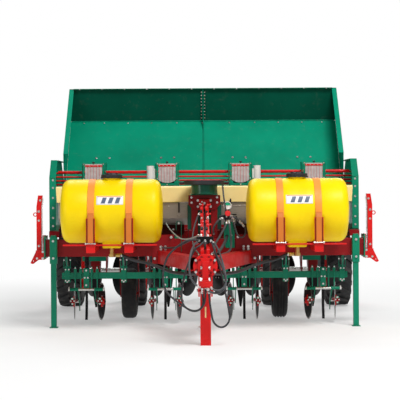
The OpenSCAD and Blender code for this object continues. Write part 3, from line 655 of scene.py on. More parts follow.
def dished_rim(name, cx, cy, cz, ri, w, mat, dish=0.0):
    prof = [(ri - 0.002, -w / 2 + 0.012), (ri + 0.014, -w / 2 + 0.006), (ri + 0.014, -w / 2 + 0.012), (ri - 0.004, -w / 2 + 0.020), (ri - 0.012, -w / 2 + 0.05),
            (ri - 0.03, -0.03), (ri - 0.032, -0.012), (0.15, dish - 0.008), (0.09, dish - 0.020), (0.06, dish - 0.020), (0.03, dish - 0.012),
            (0.03, dish + 0.012), (0.06, dish - 0.010), (0.09, dish - 0.010), (0.15, dish + 0.002), (ri - 0.026, 0.0), (ri - 0.024, 0.03), (ri - 0.006, w / 2 - 0.05), (ri + 0.002, w / 2 - 0.020),
            (ri + 0.014, w / 2 - 0.012), (ri + 0.014, w / 2 - 0.006), (ri - 0.002, w / 2 - 0.012), (ri - 0.004, w / 2 - 0.03), (ri - 0.03, 0.02), (ri - 0.03, -0.02)]
    prof = prof[:19] + prof[19:22]
    o = revolve(name, prof, (cx, cy, cz), "X", 72, mat)
    autosmooth(o, 40)
    return o


AX = D(0, 2080, 400)
for side, sx in (("left", -1), ("right", 1)):
    for k, x in (("inner", 0.770), ("outer", 1.470)):
        t = farm_tyre("rear_tyre_%s_%s" % (side, k), sx * x, AX.y, AX.z, 0.400, 0.270, 0.210, 18, 0.024)
        rm = dished_rim("rear_rim_%s_%s" % (side, k), sx * x, AX.y, AX.z, 0.210, 0.270, RED)
        for q in (t, rm):
            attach(q, "rear_wheels_" + side)
            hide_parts("rear_wheels_" + side)
        nuts = hexbolts("rear_nuts_%s_%s" % (side, k), [(sx * (x * 1000 - 18), 2080 + 75 * math.cos(a), 400 + 75 * math.sin(a), 9, 16, -sx) for a in [i * math.pi / 4 for i in range(8)]], ZINC, "X")
        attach(nuts, "rear_wheels_" + side)
    ax = revolve("rear_axle_" + side, [(0.0, -0.445), (0.025, -0.445), (0.025, 0.360), (0.036, 0.362), (0.036, 0.386), (0.0, 0.386)], (sx * 1.060, AX.y, AX.z), "X", 40, ZINC, False) if sx > 0 else \
        revolve("rear_axle_" + side, [(0.0, 0.445), (0.025, 0.445), (0.025, -0.360), (0.036, -0.362), (0.036, -0.386), (0.0, -0.386)], (sx * 1.060, AX.y, AX.z), "X", 40, ZINC, False)
    autosmooth(ax, 40)
    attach(ax, "rear_wheels_" + side)
    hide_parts("rear_wheels_" + side)

GX = D(0, 820, 250)
for side, sx in (("left", -1), ("right", 1)):
    r, w = 0.250, 0.150
    prof = [(0.150, -w / 2 + 0.016), (0.158, -w / 2 + 0.004), (0.185, -w / 2), (0.215, -w / 2 + 0.003), (0.236, -w / 2 + 0.013), (0.246, -w / 2 + 0.028)]
    if side == "left":
        prof += [(r, -0.03), (r, 0.03)]
    else:                       # three grooves round the tread
        for c in (-0.027, 0.0, 0.027):
            prof += [(r, c - 0.008), (r - 0.009, c - 0.0055), (r - 0.009, c + 0.0055), (r, c + 0.008)]
    prof += [(0.246, w / 2 - 0.028), (0.236, w / 2 - 0.013), (0.215, w / 2 - 0.003), (0.185, w / 2), (0.158, w / 2 - 0.004), (0.150, w / 2 - 0.016)]
    t = revolve("gauge_tyre_" + side, prof, (sx * 0.75, GX.y, GX.z), "X", 96, TYRE)
    autosmooth(t, 38)
    rp = [(0.018, -0.045), (0.034, -0.045), (0.034, -0.012), (0.06, -0.006), (0.12, -0.006), (0.132, -0.02), (0.140, -0.056), (0.152, -0.060), (0.152, -0.054), (0.146, -0.05),
          (0.146, 0.05), (0.152, 0.054), (0.152, 0.060), (0.140, 0.056), (0.132, 0.006), (0.12, 0.0), (0.06, 0.0), (0.034, 0.012), (0.034, 0.045), (0.018, 0.045)]
    rm = revolve("gauge_rim_" + side, rp, (sx * 0.75, GX.y, GX.z), "X", 72, RED)
    autosmooth(rm, 38)
    for q in (t, rm):
        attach(q, "gauge_wheel_" + side)
        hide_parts("gauge_wheel_" + side)

# ------------------------------------------------------------------ tanks


def tank_profile():
    pts = [(0.0, 0.465), (0.06, 0.4645), (0.12, 0.4615), (0.17, 0.456), (0.205, 0.449)]
    for i in range(1, 9):       # rounded shoulder
        a = math.radians(10 + 80 * i / 8)
        pts.append((0.212 + 0.078 * math.sin(a) ** 0.92, 0.372 + 0.076 * math.cos(a)))
    pts.append((0.290, 0.34))
    for c in (0.170,):          # the strap sits in a shallow groove
        pts += [(0.290, c + 0.046), (0.2868, c + 0.038), (0.2868, c - 0.038), (0.290, c - 0.046)]
    pts += [(0.290, 0.06), (0.2892, 0.012)]
    full = pts + [(r, -t) for r, t in reversed(pts)]
    return full


for side, sx in (("left", -1), ("right", 1)):
    c = D(sx * 845, -276, 1090)
    body = revolve("tank_shell_" + side, tank_profile(), c, "X", 128, YELLOW, False)
    bm = bmesh.new()
    bm.from_mesh(body.data)
    bmesh.ops.remove_doubles(bm, verts=bm.verts, dist=1e-5)
    bm.to_mesh(body.data)
    bm.free()
    autosmooth(body, 60)
    neck = revolve("tank_neck_" + side, [(0.072, 0.0), (0.094, 0.0), (0.092, 0.010), (0.082, 0.016), (0.080, 0.050), (0.072, 0.050)], (c.x, c.y, D(0, 0, 1346).z), "Z", 64, YELLOW)
    autosmooth(neck, 30)
    sump = boxes("tank_sump_" + side, [((sx * 845 - 85, -336, 752), (sx * 845 + 85, -216, 828))], YELLOW, 0.012)
    sump.modifiers["bevel"].segments = 4
    seam = revolve("tank_seam_" + side, [(0.2885, -0.0012), (0.2912 - 0.0012, -0.0008), (0.2912 - 0.0012, 0.0008), (0.2885, 0.0012)], c, "X", 128, YELLOW)
    for q in (body, neck, sump, seam):
        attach(q, "frame")
        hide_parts("tank_" + side)
    # plain sticker between the straps: a white panel with grey-blue bars, no lettering
    def patch(name, x0, x1, z0, z1, rad, mat, skew=0.0):
        nx, nz = 12, 8
        vs, fs = [], []
        for j in range(nz + 1):
            z = z0 + (z1 - z0) * j / nz
            a = math.asin((z - 1.090) / rad)
            for i in range(nx + 1):
                x = x0 + (x1 - x0) * i / nx + skew * (j / nz)
                vs.append((x, c.y - rad * math.cos(a), 1.090 + rad * math.sin(a)))
        for j in range(nz):
            for i in range(nx):
                k = j * (nx + 1) + i
                fs.append((k, k + 1, k + nx + 2, k + nx + 1))
        o = mesh_obj(name, vs, fs, mat, True)
        s = o.modifiers.new("thick", "SOLIDIFY")
        s.thickness, s.offset = 0.0004, 1.0
        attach(o, "frame")
        return o

STICK = plastic("sticker_white", (0.85, 0.85, 0.84), 0.35, 500.0, 0.05)
BARS = plastic("sticker_bars", (0.10, 0.13, 0.20), 0.35, 500.0, 0.05)
ORNG = plastic("sticker_orange", (0.85, 0.25, 0.02), 0.35, 500.0, 0.05)
for side, sx in (("left", -1), ("right", 1)):
    c = D(sx * 845, -276, 1090)
    x0 = c.x - 0.120
    patch("sticker_" + side, x0, x0 + 0.240, 1.150, 1.228, 0.2903, STICK)
    for i in range(3):
        patch("sticker_bar_%s_%d" % (side, i), x0 + 0.040 + 0.062 * i, x0 + 0.076 + 0.062 * i, 1.162, 1.214, 0.2908, BARS, 0.018)
    patch("sticker_line_" + side, x0 + 0.010, x0 + 0.230, 1.219, 1.225, 0.2908, ORNG)

# ------------------------------------------------------------------ hoses and cords


def rod(name, segs, mat, seg=28):
    """Turned pieces between points: [(p0, p1, [(radius, fraction)...])], points in design mm, radii in mm."""
    vs, fs = [], []
    for p0, p1, prof in segs:
        a, b = D(*p0), D(*p1)
        w = (b - a)
        L = w.length
        w.normalize()
        u = w.orthogonal().normalized()
        v = w.cross(u)
        k0 = len(vs)
        n = len(prof)
        for r, t in prof:
            for i in range(seg):
                an = 2 * math.pi * i / seg
                vs.append(a + w * (t * L) + (u * math.cos(an) + v * math.sin(an)) * (r / 1000.0))
        for k in range(n - 1):
            for i in range(seg):
                j = (i + 1) % seg
                fs.append((k0 + k * seg + i, k0 + k * seg + j, k0 + (k + 1) * seg + j, k0 + (k + 1) * seg + i))
        fs.append(tuple(k0 + i for i in reversed(range(seg))))
        fs.append(tuple(k0 + (n - 1) * seg + i for i in range(seg)))
    o = mesh_obj(name, vs, fs, mat)
    fix_normals(o)
    autosmooth(o, 32)
    return o


def studs(name, items, mat):
    """Hexagon heads on washers, standing along any direction: (point, direction, radius, height), in design mm."""
    vs, fs = [], []
    for p, d, r, h in items:
        c = D(*p)
        w = Vector(d).normalized()
        u = w.orthogonal().normalized()
        v = w.cross(u)
        rr, hh = r / 1000.0, h / 1000.0
        rings = []
        for six, rad, t in ((0, 1.30 * rr, -0.0002), (0, 1.30 * rr, 0.2 * rr), (1, rr, 0.2 * rr), (1, rr, hh * 0.84), (1, rr * 0.85, hh)):
            k = len(vs)
            for i in range(24):
                a = 2 * math.pi * i / 24
                q = rad
                if six:
                    q = rad * 0.93 / math.cos((a % (math.pi / 3)) - math.pi / 6)
                vs.append(c + w * t + u * (q * math.cos(a)) + v * (q * math.sin(a)))
            rings.append(k)
        for a0, b0 in zip(rings, rings[1:]):
            for i in range(24):
                j = (i + 1) % 24
                fs.append((a0 + i, a0 + j, b0 + j, b0 + i))
        fs.append(tuple(rings[-1] + i for i in range(24)))
        fs.append(tuple(rings[0] + i for i in reversed(range(24))))
    o = mesh_obj(name, vs, fs, mat)
    fix_normals(o)
    autosmooth(o, 25)
    return o


route_left = [[-50, -1160, 850], [-54, -1200, 852], [-100, -1240, 860], [-184, -1262, 838], [-308, -1290, 728], [-350, -1320, 571], [-325, -1350, 446], [-238, -1390, 364],
              [-134, -1430, 297], [-50, -1462, 272], [-8, -1474, 310], [-22, -1476, 400], [-26, -1476, 478]]
route_centre = [[0, -1160, 850], [-4, -1200, 846], [-40, -1240, 815], [-93, -1270, 770], [-164, -1320, 600], [-193, -1370, 458], [-190, -1440, 360], [-150, -1475, 310],
                [-85, -1500, 288], [-30, -1512, 315], [-4, -1500, 385], [0, -1476, 478]]
route_right = [[50, -1160, 850], [54, -1200, 846], [70, -1240, 800], [95, -1280, 720], [128, -1330, 600], [160, -1390, 450], [188, -1440, 300], [200, -1465, 190], [180, -1480, 112],
               [136, -1486, 80], [90, -1484, 106], [62, -1480, 190], [44, -1477, 290], [32, -1476, 380], [26, -1476, 478]]
for nm, node, rt in (("hose_left", "hose_left_loop", route_left), ("hose_centre", "hose_centre_drop", route_centre), ("hose_right", "hose_right_loop", route_right)):
    pts = ease(crom(rt, 8), 66.0)
    o = tube(nm, pts, 16.0, HOSE, res=7)
    x0, x1 = rt[0][0], rt[-1][0]
    fer = rod(nm + "_ferrules", [((x0, -1161, 850), (x0, -1206, 850 + (rt[1][2] - 850) * 0.9), [(8.6, 0), (10.4, 0.06), (10.4, 0.3), (9.4, 0.34), (10.4, 0.38), (10.4, 0.6), (9.4, 0.64), (10.4, 0.68), (10.4, 0.94), (8.6, 1)]),
                                 ((x1, -1476, 477.6), (x1, -1476, 430), [(8.6, 0), (10.4, 0.06), (10.4, 0.3), (9.4, 0.34), (10.4, 0.38), (10.4, 0.6), (9.4, 0.64), (10.4, 0.68), (10.4, 0.94), (8.6, 1)])], ZINC)
    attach(o, "frame")
    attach(fer, "frame")
    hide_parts(node)

suction = [[770, -276, 685], [750, -276, 685], [712, -280, 668], [640, -296, 640], [530, -340, 618], [430, -420, 590], [330, -520, 556], [235, -640, 542], [140, -790, 545], [72, -925, 558], [42, -998, 564], [42, -1018.6, 564]]
for side, sx in (("left", -1), ("right", 1)):
    pts = crom([[sx * x, y, z] for x, y, z in suction], 8)
    o = tube("suction_hose_" + side, pts, 28.0, HOSE, res=8)
    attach(o, "frame")
    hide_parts("suction_hoses")
    a, b = pts[0], pts[4]
    c, d = pts[-1], pts[-5]
    cl = rod("suction_clips_" + side, [(Vector(a) + (Vector(b) - Vector(a)) * 0.25, Vector(a) + (Vector(b) - Vector(a)) * 0.25 + (Vector(b) - Vector(a)).normalized() * 12, [(15.4, 0), (15.4, 1)]),
                                       (Vector(c) + (Vector(d) - Vector(c)) * 0.3, Vector(c) + (Vector(d) - Vector(c)) * 0.3 + (Vector(d) - Vector(c)).normalized() * 12, [(15.4, 0), (15.4, 1)])], ZINC)
    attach(cl, "frame")

# ------------------------------------------------------------------ strip curtains over the cup belts


def clear_pvc():
    m, nt, b = new_mat("clear_pvc")
    v = coords(nt, (1, 1, 1))
    col = ramp(nt, noise(nt, v, 26.0, 3.0), [(0.3, (0.50, 0.44, 0.44)), (0.7, (0.66, 0.60, 0.60))])
    nt.links.new(col, b.inputs["Base Color"])
    b.inputs["Roughness"].default_value = 0.22
    b.inputs["Transmission Weight"].default_value = 0.15
    b.inputs["IOR"].default_value = 1.45
    return m


PVC = clear_pvc()
for n_, c in enumerate((-1125, -375, 375, 1125)):
    vs, fs = [], []
    ns, w = 6, 28.0
    for i in range(ns):
        x0 = c - 87.5 + 175.0 * i / ns + 0.8
        x1 = x0 + 175.0 / ns - 1.6
        cols = 4
        rows = 10
        k0 = len(vs)
        for layer in (0, 1):
            for j in range(rows + 1):
                t = j / rows
                for q in range(cols + 1):
                    x = x0 + (x1 - x0) * q / cols
                    u = (x - c) / 87.5
                    zb = 1356 + 30 * abs(u) ** 2.6
                    z = 1552 + (zb - 1552) * t
                    bow = 1.6 * math.sin(math.pi * q / cols) + 1.8 * math.sin(i * 1.9 + t * 2.2) * t
                    vs.append(D(x, 1015 + bow - (1.1 if layer else 0), z))
        st = (rows + 1) * (cols + 1)
        for j in range(rows):
            for q in range(cols):
                a = k0 + j * (cols + 1) + q
                fs.append((a, a + 1, a + cols + 2, a + cols + 1))
                fs.append((a + st, a + st + cols + 1, a + st + cols + 2, a + st + 1))
        rim = [k0 + q for q in range(cols + 1)] + [k0 + j * (cols + 1) + cols for j in range(1, rows + 1)] + [k0 + rows * (cols + 1) + q for q in reversed(range(cols))] + [k0 + j * (cols + 1) for j in reversed(range(1, rows))]
        for a, b in zip(rim, rim[1:] + rim[:1]):
            fs.append((a, a + st, b + st, b))
    o = mesh_obj("curtain_strips_%d" % n_, vs, fs, PVC, True)
    fix_normals(o)
    autosmooth(o, 40)
    bar = boxes("curtain_bar_%d" % n_, [((c - 90, 1007.5, 1524), (c + 90, 1012.5, 1540))], RED, 0.0012)
    cord_lines = rod("curtain_ribs_%d" % n_, [((c - 87.5 + 175.0 * i / ns, 1012.4, 1522), (c - 87.5 + 175.0 * i / ns, 1012.4, 1362 + 30 * abs((-87.5 + 175.0 * i / ns) / 87.5) ** 2.6), [(1.5, 0), (1.5, 1)]) for i in range(1, ns)],
                     plastic("rib_red", (0.55, 0.05, 0.05), 0.4), 10)
    rv = studs("curtain_rivets_%d" % n_, [((c - 78 + 156 * i / 4, 1007.6, 1532), (0, -1, 0), 3.2, 2.6) for i in range(5)], ZINC)
    knob = rod("curtain_knob_%d" % n_, [((c, 1014, 1552), (c, 1014, 1575), [(5, 0), (5, 0.35), (11, 0.4), (13, 0.55), (13, 0.85), (9, 1)])], BLACKP)
    for q in (o, bar, cord_lines, rv, knob):
        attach(q, "frame")
    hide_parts("unit_curtains")

# ------------------------------------------------------------------ pressure gauge
dial = D(216, -55, 1132)
bez = revolve("gauge_bezel", [(0.0295, 0.0), (0.0305, -0.0050), (0.0335, -0.0062), (0.0368, -0.0048), (0.0380, 0.0), (0.0380, 0.010), (0.0368, 0.012), (0.0295, 0.004)], dial, "Y", 64, WHITEP)
GAUGEW = plastic("dial_white", (0.86, 0.86, 0.84), 0.4, 600.0, 0.02)
GAUGEG = plastic("dial_green", (0.01, 0.42, 0.22), 0.4, 600.0, 0.02)
vs, fs = [(dial.x, dial.y - 0.0012, dial.z)], []
mi = []
for i in range(72):
    a = 2 * math.pi * i / 72
    vs.append((dial.x + 0.0298 * math.cos(a), dial.y - 0.0012, dial.z + 0.0298 * math.sin(a)))
for i in range(72):
    fs.append((0, 1 + (i + 1) % 72, 1 + i))
    mi.append(0 if i < 36 else 1)
face = mesh_obj("gauge_face", vs, fs, GAUGEG)
face.data.materials.append(GAUGEW)
face.data.polygons.foreach_set("material_index", mi)
vs, fs = [], []
for i in range(25):
    a = math.radians(-40 + 260 * i / 24)
    r0, r1 = (0.0215 if i % 4 == 0 else 0.0245), 0.0275
    wd = 0.0007 if i % 4 else 0.0011
    k = len(vs)
    for rr, s2 in ((r0, -1), (r1, -1), (r1, 1), (r0, 1)):
        vs.append((dial.x + rr * math.cos(a) - s2 * wd * math.sin(a), dial.y - 0.0016, dial.z + rr * math.sin(a) + s2 * wd * math.cos(a)))
    fs.append((k, k + 1, k + 2, k + 3))
a = math.radians(62)
k = len(vs)
vs += [(dial.x + 0.0205 * math.cos(a), dial.y - 0.0022, dial.z + 0.0205 * math.sin(a)), (dial.x - 0.0016 * math.sin(a), dial.y - 0.0022, dial.z + 0.0016 * math.cos(a)),
       (dial.x - 0.007 * math.cos(a), dial.y - 0.0022, dial.z - 0.007 * math.sin(a)), (dial.x + 0.0016 * math.sin(a), dial.y - 0.0022, dial.z - 0.0016 * math.cos(a))]
fs.append((k, k + 1, k + 2, k + 3))
ticks = mesh_obj("gauge_marks", vs, fs, BLACKP)
hub = rod("gauge_hub", [((216, -56.5, 1132), (216, -59.5, 1132), [(3.2, 0), (3.2, 0.6), (2.0, 1)]), ((216, -42, 1095), (216, -42, 1066), [(9, 0), (9, 0.4), (6.5, 0.45), (6.5, 1)])], BRASS)
for q in (bez, face, ticks, hub):
    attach(q, "frame")

# ------------------------------------------------------------------ straps, catches and small fittings
# The strap tails get a darker copy of the straps' orange webbing: painted shade, so the tails match the strap rings on
# the tanks.
WEB_SHADED = plastic("orange_strap_tail_shaded", (0.62, 0.175, 0.022), 0.5, 900.0, 0.5)
# The strap channels are real flanks of the cradle, but dark brown rather than the cradle's red: painted shadow along
# the edges of the strap.
STRAP_EDGE_SHADOW = paint("channel_edge_shadow", (0.16, 0.035, 0.012), 0.45, 0.05)
# Near-black material for thin sheets in bores and slots: painted shade standing in for the dark inside of the openings.
HOLE_SHADE = plastic("painted_hole_shade", (0.010, 0.009, 0.009), 0.8, 300.0, 0.05)


def ribbon(name, x0, x1, path, thick, mat, bev=0.0006):
    """A band between x0 and x1 that follows [(y, z)], all in design mm."""
    n = len(path)
    nrm = []
    for i in range(n):
        a, b = Vector(path[max(0, i - 1)]), Vector(path[min(n - 1, i + 1)])
        t = (b - a).normalized()
        nrm.append(Vector((-t[1], t[0])))
    vs = []
    for s2 in (0.0, thick):
        for x in (x0, x1):
            for (y, z), m in zip(path, nrm):
                vs.append(D(x, y + m[0] * s2, z + m[1] * s2))
    fs = []
    q = lambda s2, x, i: (s2 * 2 + x) * n + i
    for i in range(n - 1):
        fs += [(q(0, 0, i), q(0, 0, i + 1), q(0, 1, i + 1), q(0, 1, i)), (q(1, 0, i), q(1, 1, i), q(1, 1, i + 1), q(1, 0, i + 1)),
               (q(0, 0, i), q(1, 0, i), q(1, 0, i + 1), q(0, 0, i + 1)), (q(0, 1, i), q(0, 1, i + 1), q(1, 1, i + 1), q(1, 1, i))]
    fs += [(q(0, 0, 0), q(0, 1, 0), q(1, 1, 0), q(1, 0, 0)), (q(0, 0, n - 1), q(1, 0, n - 1), q(1, 1, n - 1), q(0, 1, n - 1))]
    o = mesh_obj(name, vs, fs, mat)
    fix_normals(o)
    bevel_mod(o, bev, 1, 40)
    return o


k_ = 0
for sx in (-1, 1):
    for dx in (-170, 170):
        c = sx * 845 + dx
        k_ += 1
        web = ribbon("strap_tail_%d" % k_, c - 25, c + 25, [(-593.0, 804), (-593.0, 1024), (-590, 1036), (-573.5, 1062), (-571.2, 1076)], 2.2, WEB_SHADED)
        chan = boxes("strap_channel_%d" % k_, [((c - 33.5, -600, 800), (c - 27.5, -592.2, 1024)), ((c + 27.5, -600, 800), (c + 33.5, -592.2, 1024))], STRAP_EDGE_SHADOW, 0.0008)
        pin = rod("strap_pin_%d" % k_, [((c - 42, -601, 806), (c + 42, -601, 806), [(5, 0), (5, 1)]), ((c - 47, -601, 806), (c - 37, -601, 806), [(9, 0), (9, 1)]), ((c + 37, -601, 806), (c + 47, -601, 806), [(9, 0), (9, 1)])], ZINC, 12)
        # A near-black sheet in the cradle's bore: painted shade standing in for the opening's dark inside.
        hole_shade = boxes("cradle_bore_shade_%d" % k_, [((c - 21, -581.2, 731), (c + 21, -580.4, 773))], HOLE_SHADE, 0.001)
        rim_ = boxes("cradle_rim_%d" % k_, [((c - 31, -582.0, 720), (c + 31, -580.2, 729)), ((c - 31, -582.0, 775), (c + 31, -580.2, 784)), ((c - 31, -582.0, 729), (c - 23, -580.2, 775)), ((c + 23, -582.0, 729), (c + 31, -580.2, 775))],
                     paint("rim_%d" % k_, (0.42, 0.05, 0.02), 0.4, 0.1), 0.0006)
        for q in (web, chan, pin, hole_shade, rim_):
            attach(q, "frame")

# draw latches of the fertiliser lids
for nm, x, z0, z1 in (("left", -241, 1060, 1160), ("right", 250, 1120, 1195)):
    lt = ribbon("latch_" + nm, x - 7, x + 7, [(157.5, z1), (156.5, z1 - 20), (158, z0 + 25), (161, z0)], 5.0, BLACKP)
    ring = revolve("latch_ring_" + nm, [(0.0105 + 0.0022 * math.cos(a), 0.0022 * math.sin(a)) for a in [i * math.pi / 5 for i in range(10)]], D(x, 155, z0 - 9), "Y", 24, ZINC)
    for q in (lt, ring):
        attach(q, "fertilizer_lid_" + nm)

# green posts and brackets beside the mast
gp = boxes("centre_posts", [((-160, 92, 905), (-116, 104, 1140)), ((116, 92, 905), (160, 104, 1140)), ((-268, -8, 976), (-214, -2, 984)), ((-220, -8, 700), (-214, -0.5, 980)), ((-268, -8, 900), (-262, -2, 980))], DKGREEN, 0.0015)
pl = mesh_obj("centre_plate", [D(x, y, z) for y in (-9, -1.5) for x, z in ((182, 978), (262, 978), (282, 880), (282, 735), (196, 735), (182, 830))],
              [(0, 1, 2, 3, 4, 5), (11, 10, 9, 8, 7, 6)] + [(i, (i + 1) % 6, (i + 1) % 6 + 6, i + 6) for i in range(6)], GREEN)
fix_normals(pl)
bevel_mod(pl, 0.0012, 1)
bt = hexbolts("centre_plate_bolts", [(248, -9.2, 852, 8, 7, -1), (248, -9.2, 812, 8, 7, -1), (-241, -8.2, 968, 7, 6, -1)] + [(sx * x, -14.4, z, 9, 9, -1) for sx in (-1, 1) for x, z in ((366, 748), (408, 748), (366, 724), (408, 724))], ZINC, "Y")
for q in (gp, pl, bt):
    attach(q, "frame")

# yoke lug and the couplings on the two drawbar stays
lug = boxes("yoke_lug", [((-50, 14, 1112), (50, 20, 1192)), ((-38, -4, 1124), (38, 13.6, 1184))], RED, 0.004)
lb = hexbolts("yoke_lug_bolts", [(-60, 47, 1180, 9, 9, -1), (-60, 47, 1122, 9, 9, -1), (60, 47, 1180, 9, 9, -1), (60, 47, 1122, 9, 9, -1), (-22, -4.4, 1168, 6, 6, -1), (22, -4.4, 1140, 6, 6, -1), (0, -4.4, 1154, 9, 8, -1)] +
                            [(x, 47.6, z, 8, 7, -1) for x in (-120, 120) for z in (1160, 1208)], ZINC, "Y")
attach(lug, "frame")
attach(lb, "frame")


def stay_pt(x, t, out):
    """A point on a stay's upper side: t from the drawbar (0) to the mast (1), out mm above it."""
    y = -1256 + 1284 * t
    z = 753 + 386 * t
    return (x, y - 0.287 * (out + 21), z + 0.958 * (out + 21))


fit_r, fit_z, fit_b = [], [], []
RR = random.Random(41)
for sx in (-1, 1):
    for i in range(11):
        t = 0.16 + 0.074 * i
        x = sx * (24 + RR.uniform(-9, 9))
        L = RR.uniform(0.028, 0.048)
        r = RR.uniform(8, 12.5)
        out = r + 1.0
        p0, p1 = stay_pt(x, t, out), stay_pt(x, t + L, out)
        prof = [(r * 0.7, 0), (r * 0.7, 0.12), (r, 0.16), (r, 0.44), (r * 0.8, 0.48), (r * 0.8, 0.58), (r, 0.62), (r, 0.86), (r * 0.62, 0.9), (r * 0.62, 1)]
        (fit_r, fit_z, fit_r, fit_b, fit_r)[i % 5].append((p0, p1, prof))
        if i % 3 == 1:          # a side outlet with its cap
            q0 = Vector(stay_pt(x, t + L * 0.5, out))
            (fit_z if sx < 0 else fit_r).append((q0 + Vector((sx * r, 0, 0)), q0 + Vector((sx * (r + 20), -4, 8)), [(6, 0), (6, 0.5), (8.5, 0.55), (8.5, 1)]))
for nm, its, m in (("red", fit_r, REDP), ("zinc", fit_z, ZINC), ("black", fit_b, BLACKP)):
    o = rod("stay_couplings_" + nm, its, m, 18)
    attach(o, "frame")
lines = []
for x in (-9, -3, 4, 10):
    lines.append((x, 4.6 if x != 4 else 3.4))
for i, (x, r) in enumerate(lines):
    pts = [(x + 2.5 * math.sin(5 * t + i), stay_pt(x, t, -8)[1], stay_pt(x, t, -8)[2] - 7 * math.sin(math.pi * ((t * 3) % 1.0))) for t in [0.05 + 0.9 * k / 23 for k in range(24)]]
    o = tube("brake_line_%d" % i, pts, 2 * r, HOSE if i % 2 == 0 else BLKSTEEL, res=4)
    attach(o, "frame")

# ------------------------------------------------------------------ valve group and its hoses
GREYH = rubber("grey_hose", (0.060, 0.066, 0.072), 0.38, 0.05)
CLEARH = plastic("clear_hose", (0.33, 0.38, 0.36), 0.25, 300.0, 0.05)
vb = rod("valve_bodies", [((216, -46, 1040), (216, -46, 1008), [(13, 0), (13, 0.3), (17, 0.34), (17, 0.66), (13, 0.7), (13, 1)]), ((184, -52, 1012), (246, -52, 1012), [(10, 0), (13, 0.1), (13, 0.35), (9, 0.4), (9, 0.6), (13, 0.65), (13, 0.9), (10, 1)]),
                          ((216, -46, 1090), (216, -46, 1070), [(11, 0), (14, 0.3), (14, 0.7), (11, 1)])], BLACKP, 20)
vz = rod("valve_elbows", [((250, -52, 1014), (272, -54, 1020), [(8, 0), (8, 0.5), (11, 0.55), (11, 1)]), ((272, -54, 1016), (274, -56, 996), [(9, 0), (9, 1)]), ((334, -48, 966), (352, -50, 972), [(8, 0), (8, 0.5), (11, 0.55), (11, 1)]),
                          ((350, -50, 972), (354, -54, 950), [(8, 0), (8, 1)]), ((176, -50, 1010), (160, -50, 1016), [(9, 0), (9, 1)]), ((212, -56, 996), (206, -62, 978), [(9, 0), (9, 1)]), ((224, -56, 996), (228, -62, 976), [(9, 0), (9, 1)])], ZINC, 18)
vp = boxes("valve_bracket", [((296, -38, 940), (306, -20, 1030)), ((300, -44, 940), (352, -38, 984)), ((236, -30, 1040), (300, -24, 1052))], BLKSTEEL, 0.001)
for q in (vb, vz, vp):
    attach(q, "frame")
runs = [
    ("feed_down_left", GREYH, 20, [(206, -62, 980), (202, -75, 960), (180, -110, 915), (146, -190, 860), (110, -330, 812), (84, -520, 782), (78, -700, 772), (84, -860, 764), (80, -960, 746), (62, -1020, 730), (50, -1050, 718)]),
    ("feed_down", GREYH, 20, [(228, -62, 978), (232, -78, 955), (238, -120, 890), (244, -190, 812), (238, -290, 748), (212, -420, 716), (170, -580, 708), (126, -760, 704), (92, -900, 702), (74, -1000, 697), (62.5, -1040, 690)]),
    ("feed_right_loop", GREYH, 15, [(274, -56, 998), (276, -60, 985), (284, -84, 925), (304, -104, 866), (334, -110, 836), (364, -104, 846), (381, -90, 885), (376, -70, 925), (356, -58, 948)]),
    ("return_right", GREYH, 15, [(240, -56, 1034), (256, -62, 1040), (290, -66, 1020), (322, -60, 992), (334, -50, 970)]),
    ("feed_up", GREYH, 15, [(208, -50, 1018), (205, -58, 1046), (196, -64, 1110), (184, -58, 1190), (176, -40, 1260), (172, -20, 1325)]),
    ("return_left", GREYH, 18, [(162, -50, 1015), (148, -54, 1016), (112, -70, 1000), (88, -70, 968), (80, -40, 930), (84, 20, 890), (88, 60, 860)]),
    ("thick_return", GREYH, 28, [(211, 9.5, 850), (205, -40, 826), (184, -120, 786), (160, -240, 752), (138, -420, 734), (124, -600, 728), (117, -760, 724), (115, -820, 718), (115, -858, 712.6)]),
    ("line_left_upper", CLEARH, 12, [(-364, 198, 964), (-360, 150, 960), (-341, 60, 930), (-299, -100, 888), (-248, -300, 853), (-199, -480, 837), (-125, -680, 849), (-54, -880, 883), (-39, -905, 886)]),
    ("line_left_lower", GREYH, 16, [(-402, -14.6, 745), (-396, -40, 742), (-345, -100, 742), (-262, -180, 752), (-190, -300, 790), (-128, -450, 827), (-70, -680, 858), (-39, -860, 872)]),
    ("line_down_left", GREYH, 14, [(-39, -200, 1066), (-60, -230, 1040), (-92, -320, 950), (-108, -460, 860), (-104, -640, 800), (-88, -820, 765), (-64, -980, 742), (-50, -1050, 726), (-50, -1062, 717)]),
]
for nm, m, d, pts in runs:
    dense = crom(pts, 4) if nm == "feed_right_loop" else ease(crom(pts, 4), 4.15 * d)
    o = tube("hose_" + nm, dense, d, m, res=6)
    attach(o, "frame")
    fa, fb = Vector(dense[0]), Vector(dense[3])
    fc, fd = Vector(dense[-1]), Vector(dense[-4])
    u0, u1 = (fb - fa).normalized(), (fd - fc).normalized()
    r = d / 2.0
    f = rod("ferrule_" + nm, [(fa - u0 * 1, fa + u0 * 24, [(r + 0.8, 0), (r + 2.4, 0.1), (r + 2.4, 0.4), (r + 1.2, 0.46), (r + 2.4, 0.52), (r + 2.4, 0.9), (r + 0.6, 1)]),
                              (fc - u1 * 1, fc + u1 * 24, [(r + 0.8, 0), (r + 2.4, 0.1), (r + 2.4, 0.4), (r + 1.2, 0.46), (r + 2.4, 0.52), (r + 2.4, 0.9), (r + 0.6, 1)])], ZINC if d != 28 else BLKSTEEL, 18)
    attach(f, "frame")

# ------------------------------------------------------------------ hopper: bolts, seams, inner corner strip
HN = Vector((0, -0.7984, 0.6022))          # out of the sloping floor


def on_floor(x, z, out=0.0):
    """A point on the hopper's sloping floor at height z, in design mm."""
    t = (z - 1160.0) / 916.0
    return (x, 1829 + 691 * t + HN.y * (5.2 + out), z + HN.z * (5.2 + out))


